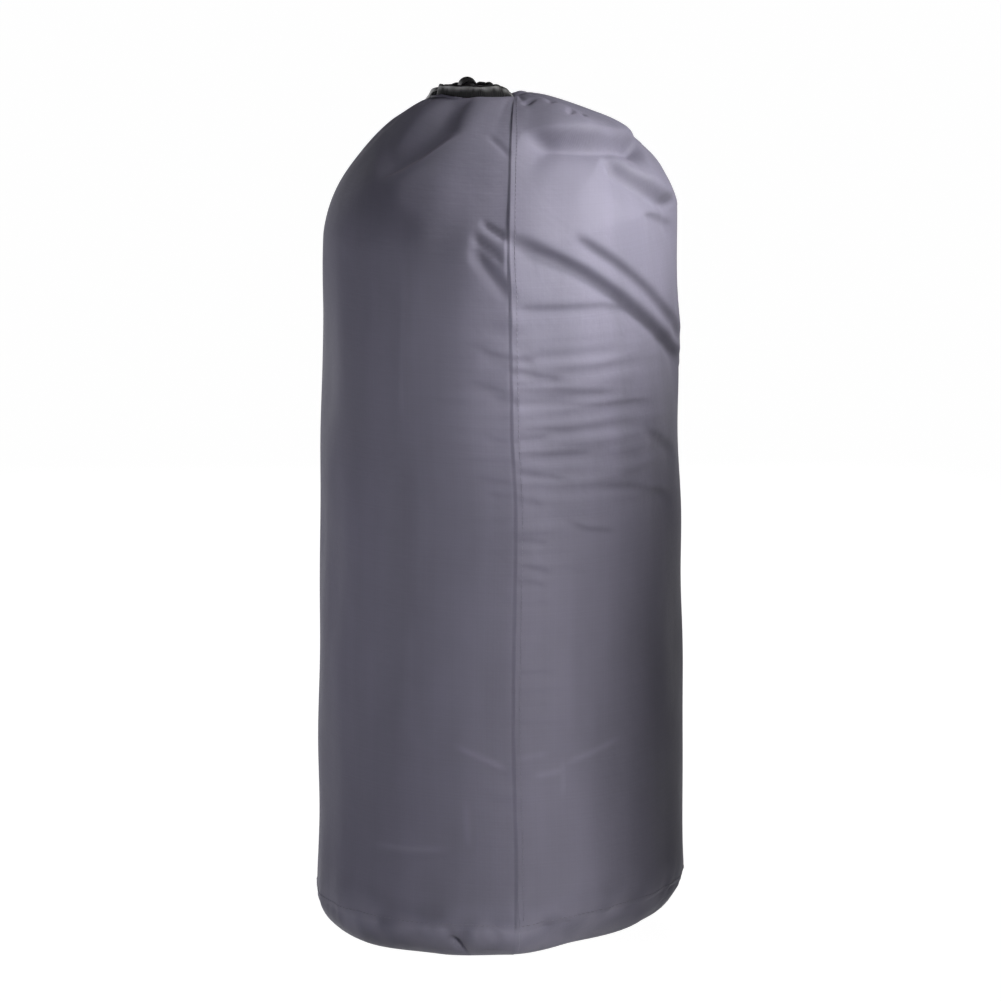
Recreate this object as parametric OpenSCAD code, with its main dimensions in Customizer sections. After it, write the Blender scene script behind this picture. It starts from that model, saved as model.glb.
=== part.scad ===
// Filled drawstring stuff sack: two sewn side panels, a round base, a gathered mouth with a
// drawcord in a black casing, and a spring cord lock on the cord.
// The front of the sack faces -Y, the seams lie on the plane x = 0, and the base stands on z = 0.

/* [Sack body] */
// Half the width across the two panels, just above the rounded foot
base_half_width = 120; // [90:1:150]
// Half the width across the two panels, at the shoulder
top_half_width = 112; // [85:1:140]
// How far each panel's centre of curvature lies past the seam plane, which sharpens the seams
panel_bow = 10; // [4:0.5:20]
// Radius of the rounded foot
corner_radius = 48; // [35:1:60]
// Height where the wall turns into the domed top
shoulder_height = 442; // [300:1:560]
// Radius of the domed top
shoulder_radius = 95; // [80:1:100]
// Thickness of the stand-in cloth
cloth = 1.2; // [0.8:0.1:2]

/* [Seams] */
// Height of the seam that joins the panels to the base
base_seam_height = 20; // [12:1:30]
// How far the bound seam edges stand into the sack
binding_depth = 9; // [5:0.5:14]
// Thickness of a bound seam edge
binding_thickness = 2.4; // [1.5:0.1:4]
// Distance of the top stitching from its seam
stitch_offset = 6; // [4:0.5:10]
// Thickness of the sewing thread
thread = 0.6; // [0.4:0.1:1]
// Gap between sewn pieces that lie on each other
seam_clearance = 0.3; // [0.2:0.05:0.5]

/* [Mouth] */
// How far the gathered mouth sits to the left of the sack's middle
mouth_offset = 17; // [0:1:25]
// Outer radius of the gathered casing
casing_radius = 27; // [25:0.5:32]
// Radius of the hole that stays in the drawn mouth
mouth_radius = 14; // [10:0.5:16]
// Height of the gathered casing
casing_height = 12; // [11:0.5:15]
// Rounding of the casing's edges
casing_round = 2.5; // [1:0.1:3]
// Height of the gathers that stand up at the back of the casing
lip_height = 6; // [3:0.5:8]
// Width of the gathers that stand up
lip_width = 7; // [6:0.5:9]
// Direction of the middle of those gathers, seen from above, from +X
lip_angle = 68; // [62:1:72]
// Angle that those gathers take up
lip_span = 112; // [60:1:116]
// Radius of the drawcord's ring inside the casing
cord_ring_radius = 22; // [21:0.25:23]
// Depth of the drawcord's ring below the casing's top
cord_ring_depth = 7.5; // [6.5:0.25:8]
// Room around the drawcord in its tunnel
tunnel_slack = 0.8; // [0.4:0.1:1]
// Direction of the cord exit, seen from above, from +X
exit_angle = -23.5; // [-28:0.5:-20]
// Angle that the exit takes out of the casing's top
exit_span = 64; // [62:1:80]
// Angle of the ring between the two cord ends, at the exit
ring_gap = 59; // [58:0.5:62]

/* [Cord] */
// Diameter of the drawcord
cord_diameter = 3; // [2:0.1:3.2]
// Diameter of the knot that joins the cord ends
knot_diameter = 10; // [8:0.5:14]
// Length of the cord ends below the knot
knot_tail = 12; // [6:1:20]

/* [Cord lock] */
// Outer diameter of the barrel
lock_diameter = 12; // [11:0.5:16]
// Diameter of the barrel's bore
bore_diameter = 9; // [8:0.1:9.6]
// Running clearance around the plunger
plunger_clearance = 0.1; // [0.05:0.01:0.2]
// How far the plunger can be pressed
press_travel = 3.5; // [2:0.1:4]
// How far the button stays proud when it is pressed in
button_proud = 1; // [0.5:0.1:2]
// Room around the two cords in the cord hole
hole_slack = 0.15; // [0.1:0.05:0.3]
// Gap between the two cords in the lock
cord_gap = 0.3; // [0.2:0.05:0.6]
// Wall of barrel and plunger beside the cord hole
hole_wall = 2; // [1.5:0.1:3]
// Room for the spring when the button is pressed in
spring_room = 3.2; // [2.8:0.1:5]
// Thickness of the barrel's closed end
end_wall = 2; // [1.5:0.1:3]
// Rounding of the barrel's closed end and of the button
lock_round = 1.5; // [0.5:0.1:2]
// Wire of the spring
spring_wire = 0.5; // [0.3:0.05:0.6]
// Turns of the spring
spring_turns = 4; // [3:1:5]
// Mean diameter of the spring
spring_diameter = 6; // [4:0.1:7]
// Width of the plunger's two guide lugs
lug_width = 1.6; // [1:0.1:2.4]
// Length of a guide lug
lug_length = 1.4; // [1:0.1:2]
// How far a guide lug stands out of the plunger
lug_height = 0.9; // [0.5:0.1:1]
// Place of the lock from the sack's middle, along X
lock_x = -21; // [-24:0.5:-18]
// Place of the lock from the sack's middle, along Y
lock_y = -9; // [-14:0.5:-6]
// Gap between the lock and the casing that it lies on
lock_clearance = 0.4; // [0.3:0.05:0.8]

/* [Hidden] */
$fn = 96;

cloth_grey = [0.43, 0.42, 0.48];
tape_black = [0.09, 0.09, 0.10];
cord_black = [0.13, 0.13, 0.14];
lock_black = [0.06, 0.06, 0.07];
steel = [0.70, 0.71, 0.73];

// Radii of a panel, measured from the panel's own axis
base_r = base_half_width + panel_bow;
top_r = top_half_width + panel_bow;
foot_centre_r = base_r - corner_radius;
dome_centre_r = top_r - shoulder_radius;
crown_z = shoulder_height + shoulder_radius;
reach = 2 * base_r;
spare = 1;

// Mouth
mouth_x = -mouth_offset;
casing_top = crown_z;
casing_bottom = casing_top - casing_height;
tunnel_z = casing_top - cord_ring_depth;
tunnel_radius = cord_diameter / 2 + tunnel_slack;

// Cord lock, measured along its axis from the middle of the two cords, button side negative
cords_half = cord_diameter + cord_gap / 2;
hole_height = cord_diameter + 5 * hole_slack;
hole_front = -cords_half - 1.5 * hole_slack;
hole_back = cords_half + hole_slack;
barrel_hole_back = hole_back + press_travel + hole_slack;
plunger_hole_front = -cords_half - hole_slack - press_travel;
plunger_back = hole_back + hole_wall;
bore_end = plunger_back + press_travel + spring_room;
barrel_back = bore_end + end_wall;
barrel_front = plunger_hole_front - hole_wall + spare;
button_front = barrel_front - press_travel - button_proud;
plunger_diameter = bore_diameter - 2 * plunger_clearance;
lug_back = plunger_back - seam_clearance;
lug_front = lug_back - lug_length;
lock_z = casing_top + lock_clearance + lock_diameter / 2;

// Routes of the two free cord ends, from the middle of the mouth at the casing's top:
// up out of the casing, over to the left through the cord lock, back across the casing,
// and down the back of the sack to the knot.
FRONT_ROUTE = [
    [13.5, -17.5, -7.5], [16.5, -15, -7], [18.5, -13, -4.5], [19, -12, -0.5],
    [18, -11.5, 3.5], [15, -11, 6], [10.5, -10.7, 6.5], [6, -10.65, 6.4],
    [1, -10.65, 6.4], [-5, -10.65, 6.4], [-10, -10.65, 6.4], [-15, -10.65, 6.4],
    [-19, -10.2, 6.3], [-22.8, -8, 5.8], [-25, -4.2, 4.9], [-25.7, 0.4, 3.9],
    [-25.7, 6, 2.8], [-25.6, 12, 1.7], [-25.6, 19, -0.5], [-26, 28, -3],
    [-26.6, 38, -5.6], [-27.4, 49, -9.2], [-28.4, 60.5, -14.5], [-29.4, 72, -21.6],
    [-30.4, 83, -31.2], [-31.4, 92.8, -43], [-32.1, 100.8, -57], [-32.5, 106.5, -73],
    [-32.6, 109.2, -90], [-32.6, 109.7, -110], [-32.6, 110.2, -134], [-32.6, 110.8, -160],
    [-32.6, 111.4, -190], [-32.6, 112.1, -228]
];
BACK_ROUTE = [
    [22, 2, -7.5], [22, -2, -7], [21.5, -5, -4.5], [21.5, -6.5, -0.5],
    [20.5, -7, 3.5], [17.5, -7, 6], [13, -7.3, 6.5], [8, -7.35, 6.4],
    [2, -7.35, 6.4], [-4, -7.35, 6.4], [-10, -7.35, 6.4], [-14.6, -7.35, 6.4],
    [-18.2, -6.8, 6.2], [-21, -4.6, 5.7], [-22.2, -1, 5], [-22.4, 3.6, 4],
    [-22.3, 9, 3], [-22.2, 15, 2], [-22.3, 22, -0.2], [-22.7, 31, -2.8],
    [-23.3, 41, -5.3], [-24.1, 52, -9.2], [-25, 63.8, -14.8], [-26.2, 75.4, -22.6],
    [-27.2, 86.6, -32.9], [-28.1, 96.4, -45.2], [-28.8, 104, -59.8], [-29.1, 109.1, -76],
    [-29.1, 111.1, -93], [-29.1, 111.5, -112], [-29.1, 112, -135], [-29.1, 112.6, -160],
    [-29.1, 113.2, -190], [-29.1, 113.9, -228]
];
cord_sides = 8;
spring_sides = 6;
spring_steps = 8;

// Place of the knot, below the ends of both routes and clear of the wall behind it
knot_flat = 0.35 * knot_diameter;
front_end = FRONT_ROUTE[len(FRONT_ROUTE) - 1];
back_end = BACK_ROUTE[len(BACK_ROUTE) - 1];
knot_away = (knot_diameter - cord_diameter) / 2;
knot_place = [
    (front_end.x + back_end.x) / 2 - knot_away / 2,
    (front_end.y + back_end.y) / 2 + knot_away,
    back_end.z - knot_flat
];

// Spring, along the lock's axis
spring_start = plunger_back + seam_clearance + spring_wire / 2;
spring_end = bore_end - seam_clearance - spring_wire / 2;
spring_gap = (spring_end - spring_start) / spring_turns - spring_wire;
echo(str("spring: least gap between turns ", spring_gap, " mm"));
echo(str("cord: front end ", route_length(smooth(FRONT_ROUTE)), " mm, back end ",
    route_length(smooth(BACK_ROUTE)), " mm"));

// Points of a smooth curve that starts and ends on the route's own ends and is pulled by the rest
function smooth(route) = let (last = len(route) - 1) [
    for (i = [0:last])
        i == 0 || i == last ? route[i] : (route[i - 1] + 4 * route[i] + route[i + 1]) / 6
];

function route_length(points, i = 1) =
    i == len(points) ? 0 : norm(points[i] - points[i - 1]) + route_length(points, i + 1);

function unit(v) = v / norm(v);

// Direction of a line of points at one of them
function heading(points, i) = unit(
    points[min(i + 1, len(points) - 1)] - points[max(i - 1, 0)]
);

// Side directions along the points, each turned as little as possible from the one before
function sides_along(points, first) = [
    for (
        i = 0, side = unit(cross(cross(heading(points, 0), first), heading(points, 0)));
        i < len(points);
        i = i + 1,
        side = i < len(points)
            ? unit(side - (side * heading(points, i)) * heading(points, i))
            : side
    ) side
];

// Round tube along a line of points, with flat ends
module tube(points, diameter, facets, first_side) {
    sides = sides_along(points, first_side);
    count = len(points);
    rings = [
        for (i = [0:count - 1]) for (k = [0:facets - 1])
            let (angle = 360 * k / facets, other = cross(heading(points, i), sides[i]))
                points[i] + diameter / 2 * (cos(angle) * sides[i] + sin(angle) * other)
    ];
    walls = [
        for (i = [0:count - 2]) for (k = [0:facets - 1])
            let (a = i * facets + k, b = i * facets + (k + 1) % facets)
                each [[a, a + facets, b], [b, a + facets, b + facets]]
    ];
    caps = [
        for (k = [1:facets - 2])
            let (end = (count - 1) * facets)
                each [[0, k, k + 1], [end, end + k + 1, end + k]]
    ];
    polyhedron(points = rings, faces = concat(walls, caps), convexity = 10);
}

// Half section of the sack from a panel's axis out to the cloth, moved inwards by inset
module section(inset) {
    translate([0, inset]) square([foot_centre_r, corner_radius - inset]);
    intersection() {
        translate([foot_centre_r, corner_radius]) circle(corner_radius - inset);
        translate([foot_centre_r, -reach]) square([reach, reach + corner_radius]);
    }
    polygon([
        [0, corner_radius], [base_r - inset, corner_radius],
        [top_r - inset, shoulder_height], [0, shoulder_height]
    ]);
    intersection() {
        translate([dome_centre_r, shoulder_height]) circle(shoulder_radius - inset);
        translate([dome_centre_r, shoulder_height]) square(reach);
    }
    translate([0, shoulder_height]) square([dome_centre_r, shoulder_radius - inset]);
}

// Layer of the section between two insets, from one height to another
module layer(outer, inner, low, high) {
    intersection() {
        difference() {
            section(outer);
            section(inner);
        }
        translate([0, low]) square([reach, high - low]);
    }
}

// The left half of a layer, turned about the left panel's axis and kept between two x values
module left_layer(outer, inner, low, high, from_x, to_x) {
    intersection() {
        translate([panel_bow, 0, 0]) rotate_extrude() layer(outer, inner, low, high);
        translate([from_x, -reach, -reach]) cube([to_x - from_x, 2 * reach, 4 * reach]);
    }
}

module right_layer(outer, inner, low, high, from_x, to_x) {
    mirror([1, 0, 0]) left_layer(outer, inner, low, high, -to_x, -from_x);
}

// Upright cylinder about the middle of the mouth
module mouth_cylinder(radius, low, high) {
    translate([mouth_x, 0, low]) cylinder(r = radius, h = high - low);
}

// Room that the casing takes out of the panels, with extra around it
module mouth_cut(extra) {
    mouth_cylinder(casing_radius + seam_clearance + extra, shoulder_height, crown_z + reach);
}

module left_panel() {
    color(cloth_grey) difference() {
        left_layer(0, cloth, base_seam_height, crown_z, -reach, 0);
        mouth_cut(0);
    }
}

module right_panel() {
    color(cloth_grey) difference() {
        right_layer(0, cloth, base_seam_height, crown_z, 0, reach);
        mouth_cut(0);
    }
}

// Flat floor with its rounded edge, up to the base seam
module base_panel() {
    color(cloth_grey) {
        left_layer(0, cloth, 0, base_seam_height, -reach, 0);
        right_layer(0, cloth, 0, base_seam_height, 0, reach);
    }
}

// Keeps the front half of a seam piece for face -1, or the back half for face 1
module half_space(face) {
    translate([-reach, face < 0 ? -reach : 0, -reach]) cube([2 * reach, reach, 4 * reach]);
}

// Bound edge of a side seam, inside the sack
module seam_binding(face) {
    outer = cloth + seam_clearance;
    low = base_seam_height + binding_thickness;
    color(tape_black) difference() {
        intersection() {
            union() {
                left_layer(outer, outer + binding_depth, low, crown_z, -binding_thickness / 2, 0);
                right_layer(outer, outer + binding_depth, low, crown_z, 0, binding_thickness / 2);
            }
            half_space(face);
        }
        mouth_cut(seam_clearance);
    }
}

module front_seam_binding() {
    seam_binding(-1);
}

module back_seam_binding() {
    seam_binding(1);
}

// Radius of the foot's inner face at a height, from a panel's axis
function foot_radius(height, inset) =
    foot_centre_r + sqrt(pow(corner_radius - inset, 2) - pow(corner_radius - height, 2));

module base_seam_binding() {
    low = base_seam_height - binding_thickness / 2;
    outer_r = foot_radius(low, cloth) - seam_clearance;
    color(tape_black) translate([0, 0, low]) difference() {
        intersection_for (side = [-1, 1])
            translate([side * panel_bow, 0, 0]) cylinder(r = outer_r, h = binding_thickness);
        intersection_for (side = [-1, 1])
            translate([side * panel_bow, 0, -spare])
                cylinder(r = outer_r - binding_depth, h = binding_thickness + 2 * spare);
    }
}

// Row of top stitching beside a side seam, on the right panel
module seam_thread(face) {
    from_x = stitch_offset - thread / 2;
    outer = -seam_clearance - thread;
    low = base_seam_height + 2 * stitch_offset;
    color(cloth_grey) difference() {
        intersection() {
            right_layer(outer, -seam_clearance, low, crown_z + reach, from_x, from_x + thread);
            half_space(face);
        }
        mouth_cut(stitch_offset);
    }
}

module front_seam_thread() {
    seam_thread(-1);
}

module back_seam_thread() {
    seam_thread(1);
}

// Row of stitching round the panels, just above the base seam
module base_seam_thread() {
    outer = -seam_clearance - thread;
    low = base_seam_height + stitch_offset - thread / 2;
    color(cloth_grey) {
        left_layer(outer, -seam_clearance, low, low + thread, -reach, 0);
        right_layer(outer, -seam_clearance, low, low + thread, 0, reach);
    }
}

// Section of the gathered tape between two radii and two heights, with rounded corners
module tape_section(inner, outer, low, high) {
    translate([inner + casing_round, low]) square([outer - inner - 2 * casing_round, high - low]);
    translate([inner, low + casing_round]) square([outer - inner, high - low - 2 * casing_round]);
    for (x = [inner + casing_round, outer - casing_round])
        for (y = [low + casing_round, high - casing_round])
            translate([x, y]) circle(casing_round);
}

// Part of a ring about the middle of the mouth, from a direction and over an angle
module mouth_sector(middle, span) {
    translate([mouth_x, 0, 0]) rotate([0, 0, middle - span / 2]) rotate_extrude(angle = span) children();
}

// Gathered tape round the mouth, higher at the back, with the drawcord's tunnel and its open exit
module hem_casing() {
    slot_half = tunnel_radius + seam_clearance;
    lip_outer = casing_radius - casing_round;
    color(tape_black) difference() {
        union() {
            translate([mouth_x, 0, 0]) rotate_extrude()
                tape_section(mouth_radius, casing_radius, casing_bottom, casing_top);
            mouth_sector(lip_angle, lip_span)
                tape_section(lip_outer - lip_width, lip_outer, tunnel_z, casing_top + lip_height);
        }
        translate([mouth_x, 0, tunnel_z]) rotate_extrude()
            translate([cord_ring_radius, 0]) circle(tunnel_radius);
        mouth_sector(exit_angle, exit_span)
            translate([cord_ring_radius - slot_half, tunnel_z])
                square([2 * slot_half, casing_height]);
    }
}

// The stretch of drawcord that stays in the casing
module drawcord_ring() {
    color(cord_black) translate([mouth_x, 0, tunnel_z])
        rotate([0, 0, exit_angle + ring_gap / 2])
            rotate_extrude(angle = 360 - ring_gap)
                translate([cord_ring_radius, 0]) circle(cord_diameter / 2);
}

module cord_tail(route) {
    color(cord_black) translate([mouth_x, 0, casing_top])
        tube(smooth(route), cord_diameter, cord_sides, [0, 0, 1]);
}

module drawcord_tail_front() {
    cord_tail(FRONT_ROUTE);
}

module drawcord_tail_back() {
    cord_tail(BACK_ROUTE);
}

// Knot that joins the two cord ends, with their short ends below it
module tail_knot() {
    color(cord_black) translate([mouth_x, 0, casing_top]) translate(knot_place) {
        intersection() {
            sphere(d = knot_diameter);
            translate([-knot_diameter, -knot_diameter, -knot_diameter])
                cube([2 * knot_diameter, 2 * knot_diameter, knot_diameter + knot_flat]);
        }
        for (side = [-1, 1])
            translate([side * 0.6 * cord_diameter, 0, -knot_diameter / 2 - knot_tail + spare])
                cylinder(d = cord_diameter, h = knot_tail + knot_diameter / 4);
    }
}

// Puts a piece that is drawn along +Z, with the cords along X, onto the lock's axis
module on_lock() {
    translate([lock_x, lock_y, lock_z]) rotate([-90, 0, 0]) children();
}

// Solid of revolution along the lock's axis, with rounded edges where asked
module rounded_rod(diameter, low, high, round_low, round_high) {
    radius = diameter / 2;
    translate([0, 0, low]) rotate_extrude() union() {
        translate([0, round_low]) square([radius, high - low - round_low - round_high]);
        square([radius - max(round_low, round_high), high - low]);
        if (round_low > 0) translate([radius - round_low, round_low]) intersection() {
            circle(round_low);
            translate([0, -round_low]) square(round_low);
        }
        if (round_high > 0) translate([radius - round_high, high - low - round_high])
            intersection() {
                circle(round_high);
                square(round_high);
            }
    }
}

// Long hole across the lock for the two cords
module cord_hole(low, high) {
    radius = hole_height / 2;
    for (z = [low + radius, high - radius])
        translate([-lock_diameter, 0, z]) rotate([0, 90, 0]) cylinder(r = radius, h = 2 * lock_diameter);
    translate([-lock_diameter, -radius, low + radius])
        cube([2 * lock_diameter, hole_height, high - low - hole_height]);
}

module cord_lock_barrel() {
    slot_low = lug_front - seam_clearance;
    slot_high = lug_back + press_travel + seam_clearance;
    slot_width = lug_width + 2 * seam_clearance;
    color(lock_black) on_lock() difference() {
        rounded_rod(lock_diameter, barrel_front, barrel_back, 0, lock_round);
        translate([0, 0, barrel_front - spare])
            cylinder(d = bore_diameter, h = bore_end - barrel_front + spare);
        cord_hole(hole_front, barrel_hole_back);
        translate([-slot_width / 2, -lock_diameter, slot_low])
            cube([slot_width, 2 * lock_diameter, slot_high - slot_low]);
    }
}

module cord_lock_plunger() {
    lug_reach = plunger_diameter / 2 + lug_height;
    color(lock_black) on_lock() difference() {
        union() {
            rounded_rod(plunger_diameter, button_front, plunger_back, lock_round, 0);
            translate([-lug_width / 2, -lug_reach, lug_front])
                cube([lug_width, 2 * lug_reach, lug_length]);
        }
        cord_hole(plunger_hole_front, hole_back);
    }
}

module cord_lock_spring() {
    points = [
        for (i = [0:spring_turns * spring_steps])
            let (turn = i / spring_steps)
                [
                    spring_diameter / 2 * cos(360 * turn),
                    spring_diameter / 2 * sin(360 * turn),
                    spring_start + (spring_end - spring_start) * turn / spring_turns
                ]
    ];
    color(steel) on_lock() tube(points, spring_wire, spring_sides, [0, 0, 1]);
}

left_panel();
right_panel();
base_panel();
front_seam_binding();
back_seam_binding();
base_seam_binding();
front_seam_thread();
back_seam_thread();
base_seam_thread();
hem_casing();
drawcord_ring();
drawcord_tail_front();
drawcord_tail_back();
tail_knot();
cord_lock_barrel();
cord_lock_plunger();
cord_lock_spring();
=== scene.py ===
import math

import bpy
import numpy as np
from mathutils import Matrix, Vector


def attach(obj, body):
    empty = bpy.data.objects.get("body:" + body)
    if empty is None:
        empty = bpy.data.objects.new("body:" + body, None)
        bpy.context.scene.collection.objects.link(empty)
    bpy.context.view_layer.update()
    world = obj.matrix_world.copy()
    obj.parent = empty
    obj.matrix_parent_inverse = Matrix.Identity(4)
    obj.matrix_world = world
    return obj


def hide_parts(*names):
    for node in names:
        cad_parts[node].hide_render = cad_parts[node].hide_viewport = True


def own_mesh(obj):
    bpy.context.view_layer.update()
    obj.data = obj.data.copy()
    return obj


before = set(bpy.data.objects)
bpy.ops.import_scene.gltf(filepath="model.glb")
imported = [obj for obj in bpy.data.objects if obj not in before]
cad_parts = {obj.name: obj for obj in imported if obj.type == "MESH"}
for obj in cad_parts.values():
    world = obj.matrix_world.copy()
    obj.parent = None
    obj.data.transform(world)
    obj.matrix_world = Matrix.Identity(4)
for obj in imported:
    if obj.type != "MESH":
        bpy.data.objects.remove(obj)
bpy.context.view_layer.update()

# Lengths are in millimetres until a mesh is made, and angles in degrees until they are used.
MM = 0.001
FULL_TURN = 2.0 * math.pi

# Smooth noise: its seed, and its shortest and longest waves as shares of the length that is asked for
SEED = 11
WAVE_SPREAD = (0.7, 1.5)

# Camera: where the photograph was taken from
CAMERA_DISTANCE = 3600.0
CAMERA_AZIMUTH = -4.5
CAMERA_HEIGHT = 930.0
CAMERA_AIM_HEIGHT = 276.7
CAMERA_LENS = 205.0
CAMERA_SENSOR = 36.0
CAMERA_CLIP_END = 60000.0

# Sack body: half sizes at the floor and at the taper height, and where each panel turns into the dome
BASE_HALF_WIDTH = 119.8
TOP_HALF_WIDTH = 112.4
BASE_HALF_DEPTH = 131.0
TOP_HALF_DEPTH = 124.0
TAPER_HEIGHT = 442.0
LEFT_SHOULDER = 449.0
RIGHT_SHOULDER = 469.0

# Roundness of the dome on each side: how soon it draws in, and how soon it rises
LEFT_DRAW = 1.58
RIGHT_DRAW = 0.85
LEFT_LIFT = 1.15
RIGHT_LIFT = 1.45
# Where the right side's dome comes in and is whole, from -1 at the left side to 1 at the right
RIGHT_COMES = (-0.2, 0.8)

# Radius of the rounded foot along each panel, at these shares of the way from front to back seam
FOOT_SHARES = (0.0, 0.16, 0.32, 0.5, 1.0)
LEFT_FOOT = (46.0, 34.0, 22.0, 23.0, 45.0)
RIGHT_FOOT = (47.0, 61.0, 54.0, 40.0, 45.0)

# Base seam: its height, and how much higher it lies on the right than in the middle
SEAM_HEIGHT = 26.0
SEAM_HEIGHT_SWING = 5.0

# Side seams: the crease where the panels meet, and the drop from the right panel's edge to the left panel
SEAM_RIDGE = 4.0
SEAM_RIDGE_REACH = 26.0
SEAM_DROP = 1.2
SEAM_DROP_ON_DOME = 0.6
SEAM_DROP_WIDTH = 2.0
SEAM_DROP_REACH = 14.0
# The ridge comes in over these distances from the casing, and the drop over these from base seam and casing.
RIDGE_FROM_CASING = (-24.0, 34.0)
DROP_FROM_BASE = (0.0, 5.0)
DROP_FROM_CASING = (3.0, 12.0)

# How far the front seam strays to the right of the sack's middle, at these heights, and the share of a panel
# over which the cloth beside it strays too
WANDER_HEIGHTS = (60.0, 160.0, 290.0, 350.0, 420.0, 451.0)
WANDER = (0.6, -1.2, 0.5, -2.0, -2.8, -3.9)
WANDER_SHARE = 0.4

# Grid of the cloth, with its columns crowded towards the seams
COLUMNS_A_PANEL = 250
COLUMN_CROWDING = 0.72
FLAT_ROWS = 14
FOOT_ROWS = 14
WALL_ROWS = 300
DOME_ROWS = 84
DOME_CROWDING = 0.75
SEAM_ROW = FLAT_ROWS + FOOT_ROWS
# Share of the base's radius at its innermost row
INNERMOST = 0.02
# Cloth tucked in under the casing: its rows, the rows above it over which folds die out, its way in and down
TUCK_ROWS = 4
TUCK_BLEND_ROWS = 2
TUCK_INWARD = 1.5
TUCK_DOWN = 6.0

# Mouth, seen from above: angles go round from +X, and the crown is the cloth's height there
MOUTH = np.array([-17.0, 0.0, 537.0])
CASING_RADIUS = 27.0
CASING_INNER = 14.0
CASING_HEIGHT = 12.0
CLOTH_GAP = 0.3
FRONT_SEAM_AT_MOUTH = -26.0
BACK_SEAM_AT_MOUTH = 45.0
CROWN_ANGLES = (-140.0, -90.0, -30.0, 20.0, 60.0, 120.0, 165.0, 190.0)
CROWN_HEIGHTS = (541.0, 538.4, 535.6, 534.8, 534.6, 534.5, 534.5, 538.5)
# Cord in the casing: its place, the gap in its ring, and the slot in the casing where its ends leave
CORD_RING_RADIUS = 22.0
CORD_RING_DEPTH = 7.5
RING_GAP = 59.0
EXIT_ANGLE = -23.5
EXIT_SPAN = 64.0

# Drawcord: the routes of its free ends, from the mouth's middle
CORD_DIAMETER = 3.0
FRONT_ROUTE = [
    (13.5, -17.5, -7.5), (16.5, -15, -7), (18.5, -13, -4.5), (19, -12, -0.5),
    (18, -11.5, 3.5), (15, -11, 6), (10.5, -10.7, 6.5), (6, -10.65, 6.4),
    (1, -10.65, 6.4), (-5, -10.65, 6.4), (-10, -10.65, 6.4), (-15, -10.65, 6.4),
    (-19, -10.2, 6.3), (-22.8, -8, 5.8), (-25, -4.2, 4.9), (-25.7, 0.4, 3.9),
    (-25.7, 6, 2.8), (-25.6, 12, 1.7), (-25.6, 19, -0.5), (-26, 28, -3),
    (-26.6, 38, -5.6), (-27.4, 49, -9.2), (-28.4, 60.5, -14.5), (-29.4, 72, -21.6),
    (-30.4, 83, -31.2), (-31.4, 92.8, -43), (-32.1, 100.8, -57), (-32.5, 106.5, -73),
    (-32.6, 109.2, -90), (-32.6, 109.7, -110), (-32.6, 110.2, -134), (-32.6, 110.8, -160),
    (-32.6, 111.4, -190), (-32.6, 112.1, -228),
]
BACK_ROUTE = [
    (22, 2, -7.5), (22, -2, -7), (21.5, -5, -4.5), (21.5, -6.5, -0.5),
    (20.5, -7, 3.5), (17.5, -7, 6), (13, -7.3, 6.5), (8, -7.35, 6.4),
    (2, -7.35, 6.4), (-4, -7.35, 6.4), (-10, -7.35, 6.4), (-14.6, -7.35, 6.4),
    (-18.2, -6.8, 6.2), (-21, -4.6, 5.7), (-22.2, -1, 5), (-22.4, 3.6, 4),
    (-22.3, 9, 3), (-22.2, 15, 2), (-22.3, 22, -0.2), (-22.7, 31, -2.8),
    (-23.3, 41, -5.3), (-24.1, 52, -9.2), (-25, 63.8, -14.8), (-26.2, 75.4, -22.6),
    (-27.2, 86.6, -32.9), (-28.1, 96.4, -45.2), (-28.8, 104, -59.8), (-29.1, 109.1, -76),
    (-29.1, 111.1, -93), (-29.1, 111.5, -112), (-29.1, 112, -135), (-29.1, 112.6, -160),
    (-29.1, 113.2, -190), (-29.1, 113.9, -228),
]
ROUTE_STEPS = 10


def smoothstep(low, high, value):
    share = np.clip((value - low) / (high - low), 0.0, 1.0)
    return share * share * (3.0 - 2.0 * share)


def bell(distance, width):
    return np.exp(-(distance / width) ** 2)


def eased(places, values, at):
    """Value that eases from each given place to the next."""
    result = np.full(np.shape(at), values[0], float)
    for k in range(len(places) - 1):
        result += (values[k + 1] - values[k]) * smoothstep(places[k], places[k + 1], at)
    return result


def waves(points, length, seed, count=24):
    """Smooth noise of about unit size: plane waves of nearly one wavelength in random directions."""
    random = np.random.default_rng(seed)
    total = np.zeros(points.shape[:-1])
    for _ in range(count):
        direction = random.normal(size=points.shape[-1])
        direction *= FULL_TURN / (length * random.uniform(*WAVE_SPREAD) * np.linalg.norm(direction))
        total += np.cos(points @ direction + random.uniform(0.0, FULL_TURN))
    return total * math.sqrt(2.0 / count)


def blotches(points, length, seed, level, swing):
    """Smooth patches from 0 to 1 round a middle level."""
    return np.clip(level + swing * waves(points, length, seed), 0.0, 1.0)


def normals_of(grid):
    """Outward unit normals of a grid of points, whose columns go all the way round."""
    along = np.gradient(grid, axis=0)
    around = np.roll(grid, -1, axis=1) - np.roll(grid, 1, axis=1)
    normals = np.cross(around, along)
    return normals / np.maximum(np.linalg.norm(normals, axis=-1, keepdims=True), 1e-9)


# Smooth sack
def lens(half_width, half_depth, side, share):
    """Point of the sack's section: two arcs that meet at the front and back seams."""
    offset = (half_depth**2 - half_width**2) / (2.0 * half_width)
    radius = half_width + offset
    angle = (2.0 * share - 1.0) * np.arccos(offset / radius)
    return side * (radius * np.cos(angle) - offset), radius * np.sin(angle)


def column_shares():
    """Side and share of each column: 0 at the front seam and 1 at the back, the right panel first."""
    count = COLUMNS_A_PANEL
    even = np.arange(count + 1) / count
    crowded = even - COLUMN_CROWDING * np.sin(FULL_TURN * even) / FULL_TURN
    side = np.concatenate([np.ones(count), -np.ones(count)])
    return side, np.concatenate([crowded[:-1], crowded[:0:-1]])


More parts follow.
